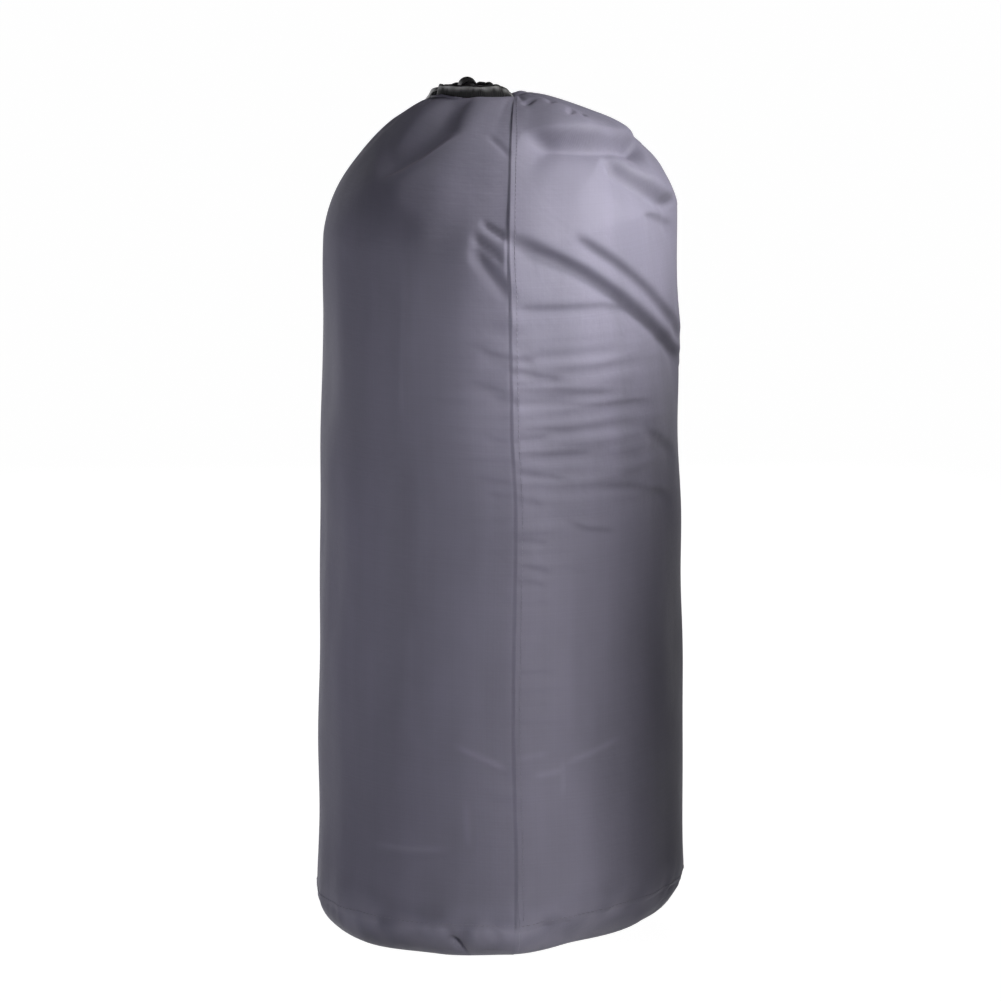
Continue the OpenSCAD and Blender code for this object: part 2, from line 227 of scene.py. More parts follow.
def ring_angle(side, share):
    """Where a column ends on the mouth's ring."""
    turn = BACK_SEAM_AT_MOUTH - FRONT_SEAM_AT_MOUTH
    right = FRONT_SEAM_AT_MOUTH + turn * share
    left = FRONT_SEAM_AT_MOUTH - (360.0 - turn) * share
    return np.where(side > 0, right, left)


def sack_grid():
    """The smooth sack: rows from the middle of the base up to the mouth, columns from the front seam."""
    side, share = column_shares()
    toward_right = np.cos(math.pi * (share - 0.5)) * side
    on_right = smoothstep(*RIGHT_COMES, toward_right)
    near_front = np.clip(1.0 - share / WANDER_SHARE, 0.0, 1.0) ** 2

    left_foot = eased(FOOT_SHARES, LEFT_FOOT, share)
    right_foot = eased(FOOT_SHARES, RIGHT_FOOT, share)
    foot = np.where(side > 0, right_foot, left_foot)
    shoulder = LEFT_SHOULDER + (RIGHT_SHOULDER - LEFT_SHOULDER) * on_right
    low = SEAM_HEIGHT + SEAM_HEIGHT_SWING * toward_right
    rise = np.linspace(0.0, 1.0, WALL_ROWS)[:, None]
    tilt_low = np.arcsin((foot - low) / foot)
    tilt = tilt_low + (0.5 * math.pi - tilt_low) * np.linspace(1.0, 0.0, FOOT_ROWS + 1)[:-1, None]
    height = np.concatenate([foot - foot * np.sin(tilt), low + (shoulder - low) * rise])
    up = height / TAPER_HEIGHT
    half_width = BASE_HALF_WIDTH + (TOP_HALF_WIDTH - BASE_HALF_WIDTH) * up
    half_depth = BASE_HALF_DEPTH + (TOP_HALF_DEPTH - BASE_HALF_DEPTH) * up
    x, y = lens(half_width, half_depth, side, share)
    below = np.clip(foot - height, 0.0, foot)
    pulled_in = foot - np.sqrt(foot**2 - below**2)
    shrink = 1.0 - pulled_in / np.hypot(x, y)
    x = x * shrink + eased(WANDER_HEIGHTS, WANDER, height) * near_front
    wall = np.stack([x, y * shrink, height], axis=-1)

    inner = np.linspace(INNERMOST, 1.0, FLAT_ROWS + 1)[:-1, None, None]
    flat = wall[:1] * inner

    edge = wall[-1]
    angle = ring_angle(side, share)
    outward = np.stack([np.cos(np.radians(angle)), np.sin(np.radians(angle))], axis=-1)
    ring = MOUTH[:2] + (CASING_RADIUS + CLOTH_GAP) * outward
    crown = np.interp(angle, CROWN_ANGLES, CROWN_HEIGHTS, period=360.0)
    turn = np.radians(90.0 * np.linspace(0.0, 1.0, DOME_ROWS + 1)[1:, None] ** DOME_CROWDING)
    drawn_in = np.cos(turn) ** (LEFT_DRAW + (RIGHT_DRAW - LEFT_DRAW) * on_right)
    lifted = np.sin(turn) ** (LEFT_LIFT + (RIGHT_LIFT - LEFT_LIFT) * on_right)
    dome = np.empty((DOME_ROWS, len(side), 3))
    dome[..., :2] = ring + (edge[:, :2] - ring) * drawn_in[..., None]
    dome[..., 2] = shoulder + (crown - shoulder) * lifted

    tuck = np.empty((TUCK_ROWS, len(side), 3))
    for row in range(TUCK_ROWS):
        inward = (row + 1) / TUCK_ROWS
        tuck[row, :, :2] = ring - TUCK_INWARD * inward * outward
        tuck[row, :, 2] = crown - TUCK_DOWN * inward
    return np.concatenate([flat, wall, dome, tuck])


def sack_coordinates(grid):
    """Distance from the front seam, positive to the right, and height along the cloth, at each point."""
    step = np.linalg.norm(np.roll(grid, -1, axis=1) - grid, axis=-1)
    count = COLUMNS_A_PANEL
    across = np.zeros(grid.shape[:2])
    across[:, 1:count + 1] = np.cumsum(step[:, :count], axis=1)
    across[:, count + 1:] = -np.cumsum(step[:, :count:-1], axis=1)[:, ::-1]
    rise = np.linalg.norm(np.diff(grid, axis=0), axis=-1)
    height = np.concatenate([np.zeros((1, grid.shape[1])), np.cumsum(rise, axis=0)])
    height += grid[SEAM_ROW, :, 2] - height[SEAM_ROW]
    return across, height


# Folds that show, as lines of points (distance from the front seam, height along the cloth).
# A step fold has its step, how soft it is, and how far the cloth takes part in it. The cloth is proud on the
# left of the line, as it is walked. A line that starts past the seam keeps to the panel of its other points.
STEP_FOLDS = [
    (
        [(-14, 470), (8, 461), (30, 452), (50, 442), (78, 425), (106, 407), (150, 383), (176, 369)],
        4.4, 3.4, 20.0,
    ),
    ([(40, 468), (50, 461), (66, 451), (95, 432), (122, 414), (153, 395), (174, 383)], 2.8, 3.2, 14.0),
    ([(-10, 421), (35, 420), (67, 419), (95, 412)], 1.6, 2.6, 10.0),
    ([(6, 545), (30, 538), (59, 530), (91, 523), (122, 516)], 11.0, 4.4, 13.0),
    ([(64, 521), (75, 513), (90, 502), (108, 491), (132, 480), (162, 472)], 7.0, 3.8, 14.0),
    ([(104, 474), (125, 468), (158, 458)], 2.6, 3.6, 9.0),
    ([(-31, 583), (-36, 555), (-38, 542), (-47, 530), (-59, 518), (-74, 506), (-98, 495)], 4.6, 8.0, 20.0),
    ([(95, 339), (118, 329), (152, 312)], 2.0, 3.4, 12.0),
    ([(52, 307), (79, 304), (117, 295), (140, 286)], 1.6, 2.4, 10.0),
    ([(28, 288), (46, 281), (72, 276)], 1.1, 1.6, 8.0),
    ([(36, 212), (76, 208)], 0.8, 3.0, 12.0),
    ([(-104, 66), (-63, 69), (-38, 74)], 1.0, 2.2, 9.0),
]
# Share of a step by which both of its sides lie low
STEP_LEAN = 0.5
# Ripples that the sewing draws in beside the front seam, each a line from the seam outwards
RIPPLES = [
    [(4, 389), (16, 386)], [(4, 381), (16, 378), (38, 375)], [(2, 369), (31, 369), (76, 364)],
    [(2, 361), (31, 360), (112, 354)], [(3, 339), (26, 340)], [(0, 330), (20, 329), (58, 328)],
    [(2, 319), (19, 315), (40, 311)], [(0, 302), (18, 298)], [(3, 276), (22, 273)],
    [(3, 260), (26, 253)], [(4, 250), (22, 246)], [(-3, 391), (-22, 393)],
    [(-5, 368), (-28, 374)], [(-4, 364), (-16, 365)], [(-4, 338), (-20, 339)],
    [(-5, 325), (-36, 325)], [(-4, 312), (-27, 314)], [(-4, 303), (-22, 304)],
]
RIPPLE_STEP = 1.2
RIPPLE_SOFTNESS = 2.0
RIPPLE_REACH = 7.5
# Finer folds between the ripples: heights where they start, their count, and the shortest and longest of them
SEAM_FOLDS = {1.0: ((150.0, 400.0), 20, (14.0, 55.0)), -1.0: ((120.0, 420.0), 18, (10.0, 36.0))}
SEAM_FOLD_STEP = 0.45
# What varies among them: place between neighbours, droop as a share of the length, and share of the step
SEAM_FOLD_PLACE = (0.1, 0.9)
SEAM_FOLD_DROOP = (-0.14, 0.03)
SEAM_FOLD_SHARE = (0.6, 1.4)
# Their middle point, as shares of the length and of the droop
SEAM_FOLD_MIDDLE = (0.55, 0.35)
# How far a fold is carried past the seam, so that it is whole where it meets the seam
PAST_THE_SEAM = 11.0
# Where a fold stops short at the seam of its panel, the share of it that the sewing leaves there, and how far
# the sewing holds it
FOLD_STOPS = (-4.0, 1.0)
SEWN_SHARE = 0.55
SEWN_REACH = 16.0
# A fold fades at its ends: where the fade starts and ends, as shares of the fold, and the longest fade
FADE_START = -0.02
FADE_END = 0.3
LONGEST_FADE = 20.0
# A crease has its depth, negative into the sack, its width, and the share of painted highlight along it,
# which stands in for the light that its ridge catches.
CREASES = [
    ([(-20, 474), (0, 461)], -2.6, 2.2, 0.0),
    ([(-25, 465), (-3, 448)], -3.0, 2.6, 0.0),
    ([(-25, 459), (-14, 444), (0, 425)], -4.4, 4.2, 0.0),
    ([(-17, 543), (-8, 533), (0, 522)], -1.2, 2.4, 0.0),
    ([(-30, 541), (-45, 527), (-59, 514), (-75, 504), (-94, 492)], 1.0, 2.0, 0.4),
    ([(-70, 453), (-75, 343)], 0.6, 5.0, 0.15),
    ([(-40, 145), (-23, 138), (-3, 129)], 0.8, 2.2, 0.35),
    ([(-2, 137), (22, 140)], 0.6, 2.2, 0.2),
    ([(28, 131), (57, 140), (79, 146)], 0.7, 2.2, 0.3),
    ([(8, 125), (36, 129)], 0.6, 2.2, 0.25),
    ([(31, 138), (31, 110)], 0.6, 2.0, 0.2),
    ([(-32, 112), (-31, 76)], 0.6, 2.0, 0.2),
    ([(-103, 73), (-71, 74), (-42, 77)], 0.6, 2.2, 0.3),
    ([(-43, 20), (-36, 10), (-29, -6)], -7.0, 2.6, 0.0),
]
# How wide the painted highlight along a crease is
PAINTED_LIGHT_WIDTH = 2.2
# Painted light round the base seam, where its puckers catch light: how far it reaches below and above the
# seam, and its blotches
PAINTED_LIGHT_BELOW_SEAM = 26.0
PAINTED_LIGHT_ABOVE_SEAM = 11.0
PAINTED_LIGHT_BLOTCH = 22.0
PAINTED_LIGHT_LEVEL = 0.65
PAINTED_LIGHT_SWING = 0.4
# A dent has its depth and its width.
DENTS = [
    ((10, 580), 2.6, 3.0),
    ((25, 575), 3.0, 3.4),
    ((37, 556), 2.8, 3.0),
    ((49, 552), 2.8, 3.0),
]
# Rumples across the front: heights over which they come and go, how far they reach on the right and fade on
# the left, their spacing up the cloth, how much longer they are than that, and their size
RUMPLE_COMES = (255.0, 310.0)
RUMPLE_GOES = (385.0, 412.0)
RUMPLE_REACH = (80.0, 165.0)
RUMPLE_LEFT_FADE = 26.0
RUMPLE_SPACING = 12.0
RUMPLE_LENGTH = 7.0
RUMPLE_SIZE = 0.45
# Puckers beside a side seam: their size and reach, spacing, slant, and the length of patches of them
PUCKER_SIZE = 0.45
PUCKER_REACH = 16.0
PUCKER_SPACING = 15.0
PUCKER_SLANT = 0.35
PUCKER_PATCH = 90.0
# Base seam: the groove that it draws in, and the puckers along it
BASE_GROOVE = 0.45
BASE_GROOVE_WIDTH = 1.8
BASE_PUCKER_SIZE = 0.45
BASE_PUCKER_SPACING = 14.0
BASE_PUCKER_REACH = 8.0
# Gathers on the front of the dome, left panel first: share along the panel, height, width and reach
GATHERS = {
    -1.0: [
        (0.06, -0.9, 0.020, 20.0), (0.14, 0.8, 0.030, 24.0), (0.24, -0.8, 0.030, 24.0),
        (0.35, 0.9, 0.030, 34.0), (0.45, 1.6, 0.028, 36.0),
        (0.50, -1.8, 0.022, 40.0), (0.58, 1.6, 0.026, 34.0), (0.66, -2.0, 0.022, 46.0),
        (0.75, 1.6, 0.026, 38.0), (0.83, -2.0, 0.022, 44.0), (0.92, 1.4, 0.024, 30.0),
    ],
    1.0: [
        (0.10, -1.6, 0.034, 16.0), (0.22, 1.2, 0.040, 24.0), (0.33, -2.2, 0.040, 34.0),
        (0.48, 1.8, 0.050, 44.0), (0.60, -2.2, 0.040, 40.0), (0.74, 1.6, 0.050, 34.0),
        (0.88, -2.0, 0.040, 36.0),
    ],
}
# Heights over which the gathers come in, and how far from the casing they are whole
GATHERS_COME = (TAPER_HEIGHT - 30.0, TAPER_HEIGHT + 40.0)
GATHERS_WHOLE = 9.0
# Heights over which the seam's drop turns into the dome's
DROP_CHANGES = (TAPER_HEIGHT, TAPER_HEIGHT + 40.0)
# Soft lumps all over the cloth, and finer upright ones: size, length, and how much the height counts in them
LUMP_SIZE = 0.6
LUMP_LENGTH = 95.0
DRAPE_SIZE = 0.3
DRAPE_LENGTH = 30.0
DRAPE_HEIGHT_SHARE = 0.22
# Heights over which the cloth of the base starts to fold
BASE_FOLDS_COME = (1.0, 16.0)
# How the cloth meets a cord that lies on it: where that starts behind the mouth, the gap, how wide the cloth
# gives way, how far it rises, and how much the depth counts when the nearest point is chosen
CORD_SEAT_START = 8.0
CORD_SEAT_GAP = 0.2
CORD_SEAT_WIDTH = 5.0
CORD_SEAT_SEARCH = 3.0 * CORD_SEAT_WIDTH
CORD_SEAT_RISE = 1.5
CORD_SEAT_DEPTH_SHARE = 0.2


def stroke_distance(across, height, points):
    """Distance from a line of points, the same with a sign above and below it, and a fade at its ends."""
    nearest = np.full(across.shape, np.inf)
    signed = np.zeros(across.shape)
    travel = np.zeros(across.shape)
    lengths = [math.dist(a, b) for a, b in zip(points, points[1:])]
    whole = sum(lengths)
    start = 0.0
    for (a, b), length in zip(zip(points, points[1:]), lengths):
        along_x = (b[0] - a[0]) / length
        along_y = (b[1] - a[1]) / length
        place = np.clip((across - a[0]) * along_x + (height - a[1]) * along_y, 0.0, length)
        off_x = across - a[0] - place * along_x
        off_y = height - a[1] - place * along_y
        distance = np.hypot(off_x, off_y)
        closer = distance < nearest
        nearest = np.where(closer, distance, nearest)
        signed = np.where(closer, along_x * off_y - along_y * off_x, signed)
        travel = np.where(closer, start + place, travel)
        start += length
    ends = np.minimum(travel, whole - travel)
    fade = smoothstep(FADE_START * whole, min(FADE_END * whole, LONGEST_FADE), ends)
    return nearest, np.sign(signed) * nearest, fade


def seam_folds():
    """Small step folds that run out from the front seam, in the form of STEP_FOLDS."""
    random = np.random.default_rng(SEED + 30)
    lines = [(line, RIPPLE_STEP) for line in RIPPLES]
    for side, ((low, high), count, lengths) in SEAM_FOLDS.items():
        for k in range(count):
            start = low + (high - low) * (k + random.uniform(*SEAM_FOLD_PLACE)) / count
            length = random.uniform(*lengths)
            droop = random.uniform(*SEAM_FOLD_DROOP) * length
            middle = (side * SEAM_FOLD_MIDDLE[0] * length, start + SEAM_FOLD_MIDDLE[1] * droop)
            line = [(0.0, start), middle, (side * length, start + droop)]
            lines.append((line, SEAM_FOLD_STEP * random.uniform(*SEAM_FOLD_SHARE)))
    folds = []
    for line, step in lines:
        side = math.copysign(1.0, line[-1][0])
        points = [(-side * PAST_THE_SEAM, line[0][1])] + line
        folds.append((points if side > 0 else points[::-1], step, RIPPLE_SOFTNESS, RIPPLE_REACH))
    return folds


def ramp(value):
    """Straight slope through zero that levels off at -1 and 1."""
    return value / (1.0 + value**4) ** 0.25


def on_panel(from_seam):
    """Share of a fold that is left at a distance from the seam, which is negative past the seam."""
    held = SEWN_SHARE + (1.0 - SEWN_SHARE) * smoothstep(0.0, SEWN_REACH, from_seam)
    return smoothstep(*FOLD_STOPS, from_seam) * held


def fold_field(across, height):
    """How far the folds move the cloth outwards."""
    moved = np.zeros(across.shape)
    for points, step, soft, reach in STEP_FOLDS + seam_folds():
        nearest, signed, fade = stroke_distance(across, height, points)
        side = math.copysign(1.0, points[len(points) // 2][0])
        profile = (ramp(signed / soft) - STEP_LEAN) * np.exp(-nearest / reach)
        moved += step * profile * fade * on_panel(side * across)
    for points, depth, width, _ in CREASES:
        nearest, _, fade = stroke_distance(across, height, points)
        moved += depth * bell(nearest, width) * fade
    for (x, y), depth, width in DENTS:
        moved -= depth * bell(np.hypot(across - x, height - y), width)
    return moved


def crease_painted_light(across, height):
    """Painted highlight along the creases, where their ridges catch light, from 0 to 1."""
    painted_light_amount = np.zeros(across.shape)
    for points, _, _, painted_light_share in CREASES:
        nearest, _, fade = stroke_distance(across, height, points)
        painted_light_amount = np.maximum(painted_light_amount, painted_light_share * bell(nearest, PAINTED_LIGHT_WIDTH) * fade)
    return painted_light_amount


def base_painted_light(grid, height):
    """Blotchy painted light round the base seam, where its puckers catch light, from 0 to 1."""
    from_seam = height - height[SEAM_ROW]
    fade = np.where(from_seam < 0.0, PAINTED_LIGHT_BELOW_SEAM, PAINTED_LIGHT_ABOVE_SEAM)
    patches = blotches(grid, PAINTED_LIGHT_BLOTCH, SEED + 50, PAINTED_LIGHT_LEVEL, PAINTED_LIGHT_SWING)
    return patches * np.exp(-np.abs(from_seam) / fade)


def rumple_field(across, height):
    """Long soft rumples across the front at mid height."""
    place = np.stack([across / RUMPLE_LENGTH, height], axis=-1)
    at_height = smoothstep(*RUMPLE_COMES, height) * (1.0 - smoothstep(*RUMPLE_GOES, height))
    on_right = 1.0 - smoothstep(*RUMPLE_REACH, across)
    on_left = np.exp(np.minimum(across, 0.0) / RUMPLE_LEFT_FADE)
    return RUMPLE_SIZE * waves(place, RUMPLE_SPACING, SEED + 40) * at_height * on_right * on_left


def pucker_field(offset, height, seed):
    """Small ripples that a row of stitching draws into the cloth beside it."""
    line = np.stack([height, PUCKER_SLANT * np.abs(offset)], axis=-1)
    patches = 0.5 + 0.5 * waves(line * [1.0, 0.0], PUCKER_PATCH, seed + 1)
    ripple = waves(line, PUCKER_SPACING, seed) * patches
    return PUCKER_SIZE * ripple * np.exp(-np.abs(offset) / PUCKER_REACH)


def seam_drop(offset, height):
    """How far the cloth lies lower just left of a side seam, where the right panel's edge laps over it."""
    beyond = np.maximum(-offset - SEAM_DROP_WIDTH, 0.0)
    depth = SEAM_DROP + (SEAM_DROP_ON_DOME - SEAM_DROP) * smoothstep(*DROP_CHANGES, height)
    return depth * smoothstep(0.0, SEAM_DROP_WIDTH, -offset) * np.exp(-beyond / SEAM_DROP_REACH)


def base_seam_field(grid, offset):
    """Puckers along the base seam, and the groove that the sewing draws in."""
    puckers = BASE_PUCKER_SIZE * waves(grid, BASE_PUCKER_SPACING, SEED + 20)
    groove = BASE_GROOVE * bell(offset, BASE_GROOVE_WIDTH)
    return puckers * np.exp(-np.abs(offset) / BASE_PUCKER_REACH) - groove


def lump_field(grid):
    """Soft lumps all over the cloth."""
    lumps = LUMP_SIZE * waves(grid, LUMP_LENGTH, SEED + 10)
    return lumps + DRAPE_SIZE * waves(grid * [1.0, 1.0, DRAPE_HEIGHT_SHARE], DRAPE_LENGTH, SEED + 11)


def distance_from_casing(grid):
    """Distance from the casing, seen from above."""
    return np.hypot(grid[..., 0] - MOUTH[0], grid[..., 1] - MOUTH[1]) - CASING_RADIUS


def gather_field(grid, share, side):
    """Pleats that run down from the mouth and fade out over the shoulder."""
    from_mouth = distance_from_casing(grid)
    moved = np.zeros(grid.shape[:2])
    for panel, pleats in GATHERS.items():
        for centre, rise, width, reach in pleats:
            pleat = bell(share - centre, width) * np.exp(-np.maximum(from_mouth, 0.0) / reach)
            moved += np.where(side == panel, rise * pleat, 0.0)
    return moved * smoothstep(*GATHERS_COME, grid[..., 2]) * smoothstep(0.0, GATHERS_WHOLE, from_mouth)


def smooth_route(route):
    """Points along the cord: the same smooth curve that the solid follows, from the mouth's middle."""
    control = np.asarray(route, float)
    control = np.concatenate([[2 * control[0] - control[1]], control, [2 * control[-1] - control[-2]]])
    points = []
    for i in range(len(control) - 3):
        p0, p1, p2, p3 = control[i:i + 4]
        for t in np.arange(ROUTE_STEPS) / ROUTE_STEPS:
            cubic = (-p0 + 3 * p1 - 3 * p2 + p3) * t**3
            square = (3 * p0 - 6 * p1 + 3 * p2) * t**2
            points.append((cubic + square + (3 * p2 - 3 * p0) * t + p0 + 4 * p1 + p2) / 6.0)
    points.append(control[-2])
    return MOUTH + np.array(points)


def seat_under_cords(surface):
    """Moves the cloth so that the cords behind the mouth lie on it."""
    normals = normals_of(surface)
    for route in (FRONT_ROUTE, BACK_ROUTE):
        line = smooth_route(route)
        behind = line[line[:, 1] > MOUTH[1] + CORD_SEAT_START]
        low = behind.min(axis=0) - CORD_SEAT_SEARCH
        high = behind.max(axis=0) + CORD_SEAT_SEARCH
        near = np.all((surface > low) & (surface < high), axis=-1)
        points = surface[near]
        outward = normals[near]
        to_cord = behind[None] - points[:, None]
        depth = np.einsum("ijk,ik->ij", to_cord, outward)
        sideways = np.sqrt(np.maximum((to_cord**2).sum(axis=-1) - depth**2, 0.0))
        closest = np.argmin(sideways + CORD_SEAT_DEPTH_SHARE * np.abs(depth), axis=1)
        rows = np.arange(len(points))
        wanted = depth[rows, closest] - 0.5 * CORD_DIAMETER - CORD_SEAT_GAP
        share = bell(sideways[rows, closest], CORD_SEAT_WIDTH)
        moved = np.where(wanted < 0.0, wanted, np.minimum(wanted, CORD_SEAT_RISE)) * share
        surface[near] = points + outward * moved[:, None]
    return surface


def clear_of_casing(surface):
    """Moves the cloth out where a fold would take it into the casing."""
    above = slice(SEAM_ROW, surface.shape[0] - TUCK_ROWS)
    offset = surface[above, :, :2] - MOUTH[:2]
    radius = np.linalg.norm(offset, axis=-1, keepdims=True)
    surface[above, :, :2] = MOUTH[:2] + offset * np.maximum((CASING_RADIUS + CLOTH_GAP) / radius, 1.0)
    return surface


def dressed_grid():
    """The sack with its seams, puckers, folds and lumps."""
    side, share = column_shares()
    grid = sack_grid()
    across, height = sack_coordinates(grid)
    panel_width = np.where(side > 0, across[:, [COLUMNS_A_PANEL]], -across[:, [COLUMNS_A_PANEL + 1]])
    from_back = (panel_width - np.abs(across)) * side
    from_base = height - grid[SEAM_ROW, :, 2]
    from_casing = distance_from_casing(grid)

    ridge_share = smoothstep(*RIDGE_FROM_CASING, from_casing)
    drop_share = smoothstep(*DROP_FROM_BASE, from_base) * smoothstep(*DROP_FROM_CASING, from_casing)
    moved = fold_field(across, height) + rumple_field(across, height)
    for offset, seed in ((across, SEED + 1), (from_back, SEED + 5)):
        moved += SEAM_RIDGE * np.exp(-np.abs(offset) / SEAM_RIDGE_REACH) * ridge_share
        moved -= seam_drop(offset, height) * drop_share
        moved += pucker_field(offset, height, seed)
    moved += gather_field(grid, share, side) + lump_field(grid) + base_seam_field(grid, from_base)
    row = np.arange(grid.shape[0])
    first_tuck = grid.shape[0] - TUCK_ROWS
    under_casing = smoothstep(first_tuck - TUCK_BLEND_ROWS, first_tuck, row)[:, None]
    moved *= smoothstep(*BASE_FOLDS_COME, grid[..., 2]) * (1.0 - under_casing)
    surface = clear_of_casing(seat_under_cords(grid + normals_of(grid) * moved[..., None]))
    return surface, across, height, normals_of(grid)


# Meshes
def add_piece(name, vertices, faces, loop_uv, material):
    """A smooth mesh object from points, faces, and texture coordinates for each corner of the faces."""
    mesh = bpy.data.meshes.new(name)
    mesh.from_pydata((np.asarray(vertices) * MM).tolist(), [], [list(face) for face in faces])
    mesh.polygons.foreach_set("use_smooth", [True] * len(mesh.polygons))
    layer = mesh.uv_layers.new(name="UVMap")
    layer.data.foreach_set("uv", (np.asarray(loop_uv) * MM).ravel())
    mesh.materials.append(material)
    mesh.update()
    piece = bpy.data.objects.new(name, mesh)
    bpy.context.collection.objects.link(piece)
    return piece


def stand_in(piece, body, node):
    """Lets a piece ride on a body in place of a solid, which it hides."""
    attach(piece, body)
    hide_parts(node)


def lengths_along(points):
    """Distance of each point of a line from its first point, along the line."""
    steps = np.linalg.norm(np.diff(points, axis=0), axis=1)
    return np.concatenate([[0.0], np.cumsum(steps)])


def uv_grid(lengths, rounds):
    """Texture coordinates of a grid from those of its rows and of its columns."""
    return np.stack(np.meshgrid(lengths, rounds, indexing="ij"), axis=-1)


def grid_faces(rows, columns, closed):
    """Quads of a grid, and for each corner its place in a grid that has one more column if it is closed."""
    wide = columns + 1 if closed else columns
    row, column = np.meshgrid(np.arange(rows - 1), np.arange(wide - 1), indexing="ij")
    corners = [(row, column), (row, column + 1), (row + 1, column + 1), (row + 1, column)]
    faces = np.stack([r * columns + c % columns for r, c in corners], axis=-1).reshape(-1, 4)
    places = np.stack([r * wide + c for r, c in corners], axis=-1).reshape(-1)
    return faces, places


def grid_piece(name, grid, uv, material, closed=False):
    """A piece from a grid of points. If it is closed, uv has one more column than the grid."""
    faces, places = grid_faces(grid.shape[0], grid.shape[1], closed)
    return add_piece(name, grid.reshape(-1, 3), faces, uv.reshape(-1, 2)[places], material)


def sweep(points, radius, sides):
    """Grid of a round tube along points."""
    heading = np.gradient(points, axis=0)
    heading /= np.linalg.norm(heading, axis=1, keepdims=True)
    side = np.cross(heading[0], [0.0, 0.0, 1.0])
    if np.linalg.norm(side) < 0.1:
        side = np.cross(heading[0], [1.0, 0.0, 0.0])
    angle = np.linspace(0.0, FULL_TURN, sides, endpoint=False)
    rings = []
    for place, forward in zip(points, heading):
        side = side - forward * (side @ forward)
        side /= np.linalg.norm(side)
        other = np.cross(forward, side)
        rings.append(place + radius * (np.cos(angle)[:, None] * side + np.sin(angle)[:, None] * other))
    return np.array(rings)


def tube_parts(points, radius, sides):
    """Vertices, faces and texture coordinates of a round tube with closed ends."""
    grid = sweep(points, radius, sides)
    faces, places = grid_faces(len(grid), sides, True)
    rounds = np.linspace(0.0, FULL_TURN * radius, sides + 1)
    uv = uv_grid(lengths_along(points), rounds).reshape(-1, 2)[places]
    first = list(range(sides))[::-1]
    last = [(len(grid) - 1) * sides + k for k in range(sides)]
    caps = np.zeros((2 * sides, 2))
    return grid.reshape(-1, 3), faces.tolist() + [first, last], np.concatenate([uv, caps])


def tube_piece(name, lines, radius, sides, material):
    """One piece made of a tube along each line of points."""
    vertices = []
    faces = []
    uv = []
    start = 0
    for line in lines:
        line_vertices, line_faces, line_uv = tube_parts(line, radius, sides)
        vertices.append(line_vertices)
        faces.extend([[start + k for k in face] for face in line_faces])
        uv.append(line_uv)
        start += len(line_vertices)
    return add_piece(name, np.concatenate(vertices), faces, np.concatenate(uv), material)


def even_places(line, spacing):
    """Places at equal distances along a line, counted in its points."""
    length = lengths_along(line)
    return np.interp(np.arange(0.0, length[-1], spacing), length, np.arange(len(line)))


def values_at(values, places):
    """Values of a list of vectors at fractional places."""
    index = np.arange(len(values))
    return np.stack([np.interp(places, index, values[:, k]) for k in range(values.shape[1])], axis=-1)


# Materials, whose sizes are in metres
# Point attribute that carries painted light: highlights along creases, light on the base seam's puckers, and
# a glint on the casing
PAINTED_LIGHT = "painted_light"
NYLON_DARK = (0.153, 0.147, 0.193, 1.0)
NYLON_LIGHT = (0.193, 0.184, 0.243, 1.0)
# Colour that the cloth is drawn towards where light is painted on it
NYLON_PAINTED_LIGHT = (0.30, 0.29, 0.37, 1.0)
NYLON_PAINTED_LIGHT_SHARE = 0.75
NYLON_WEAVE = 0.0009
TAPE_DARK = (0.003, 0.003, 0.004, 1.0)
TAPE_LIGHT = (0.009, 0.009, 0.010, 1.0)
# Colour of the glint painted on the casing's lip
TAPE_PAINTED_GLINT = (0.8, 0.8, 0.8, 1.0)
TAPE_RIB = 0.0014
BRAID_DARK = (0.008, 0.008, 0.009, 1.0)
BRAID_LIGHT = (0.045, 0.045, 0.048, 1.0)
# The braid's pitch goes four times into the cord's girth, so that the strands meet all the way round.
BRAID_PITCH = 0.25 * math.pi * CORD_DIAMETER * MM
THREAD_DARK = (0.125, 0.120, 0.158, 1.0)
THREAD_LIGHT = (0.185, 0.176, 0.232, 1.0)
THREAD_TWIST = 0.0005
THREAD_SLANT = 0.6
PLASTIC_DARK = (0.004, 0.004, 0.005, 1.0)
PLASTIC_LIGHT = (0.012, 0.012, 0.013, 1.0)
STEEL_DARK = (0.45, 0.46, 0.48, 1.0)
STEEL_LIGHT = (0.60, 0.61, 0.62, 1.0)
FLOOR_GREY = (0.30, 0.30, 0.30, 1.0)
FLOOR_SHADE = (0.20, 0.20, 0.20, 1.0)
FLOOR_GLOW = (0.985, 0.985, 0.985, 1.0)


def add_node(tree, kind, inputs=None, **settings):
    """A shader node with its settings, whose inputs are values or other nodes' outputs."""
    node = tree.nodes.new(kind)
    for name, value in settings.items():
        setattr(node, name, value)
    for name, value in (inputs or {}).items():
        set_input(tree, node, name, value)
    return node


def set_input(tree, node, name, value):
    """Sets a node's input to a value, or links it to another node's output."""
    if isinstance(value, bpy.types.NodeSocket):
        tree.links.new(value, node.inputs[name])
    else:
        node.inputs[name].default_value = value


def math_node(tree, operation, first, second=0.0):
    node = add_node(tree, "ShaderNodeMath", {0: first, 1: second}, operation=operation)
    return node.outputs[0]


def scaled_sum(tree, first, factor, second):
    return math_node(tree, "ADD", math_node(tree, "MULTIPLY", first, factor), second)


def sine_wave(tree, value, pitch):
    return math_node(tree, "SINE", math_node(tree, "MULTIPLY", value, FULL_TURN / pitch))


def wave_pair(tree, first, second, pitch):
    """Sines along two coordinates with one pitch, multiplied, from -1 to 1."""
    return math_node(tree, "MULTIPLY", sine_wave(tree, first, pitch), sine_wave(tree, second, pitch))


def noise_node(tree, vector, scale, detail=2.0, roughness=0.5):
    inputs = {"Vector": vector, "Scale": scale, "Detail": detail, "Roughness": roughness}
    return add_node(tree, "ShaderNodeTexNoise", inputs).outputs["Fac"]


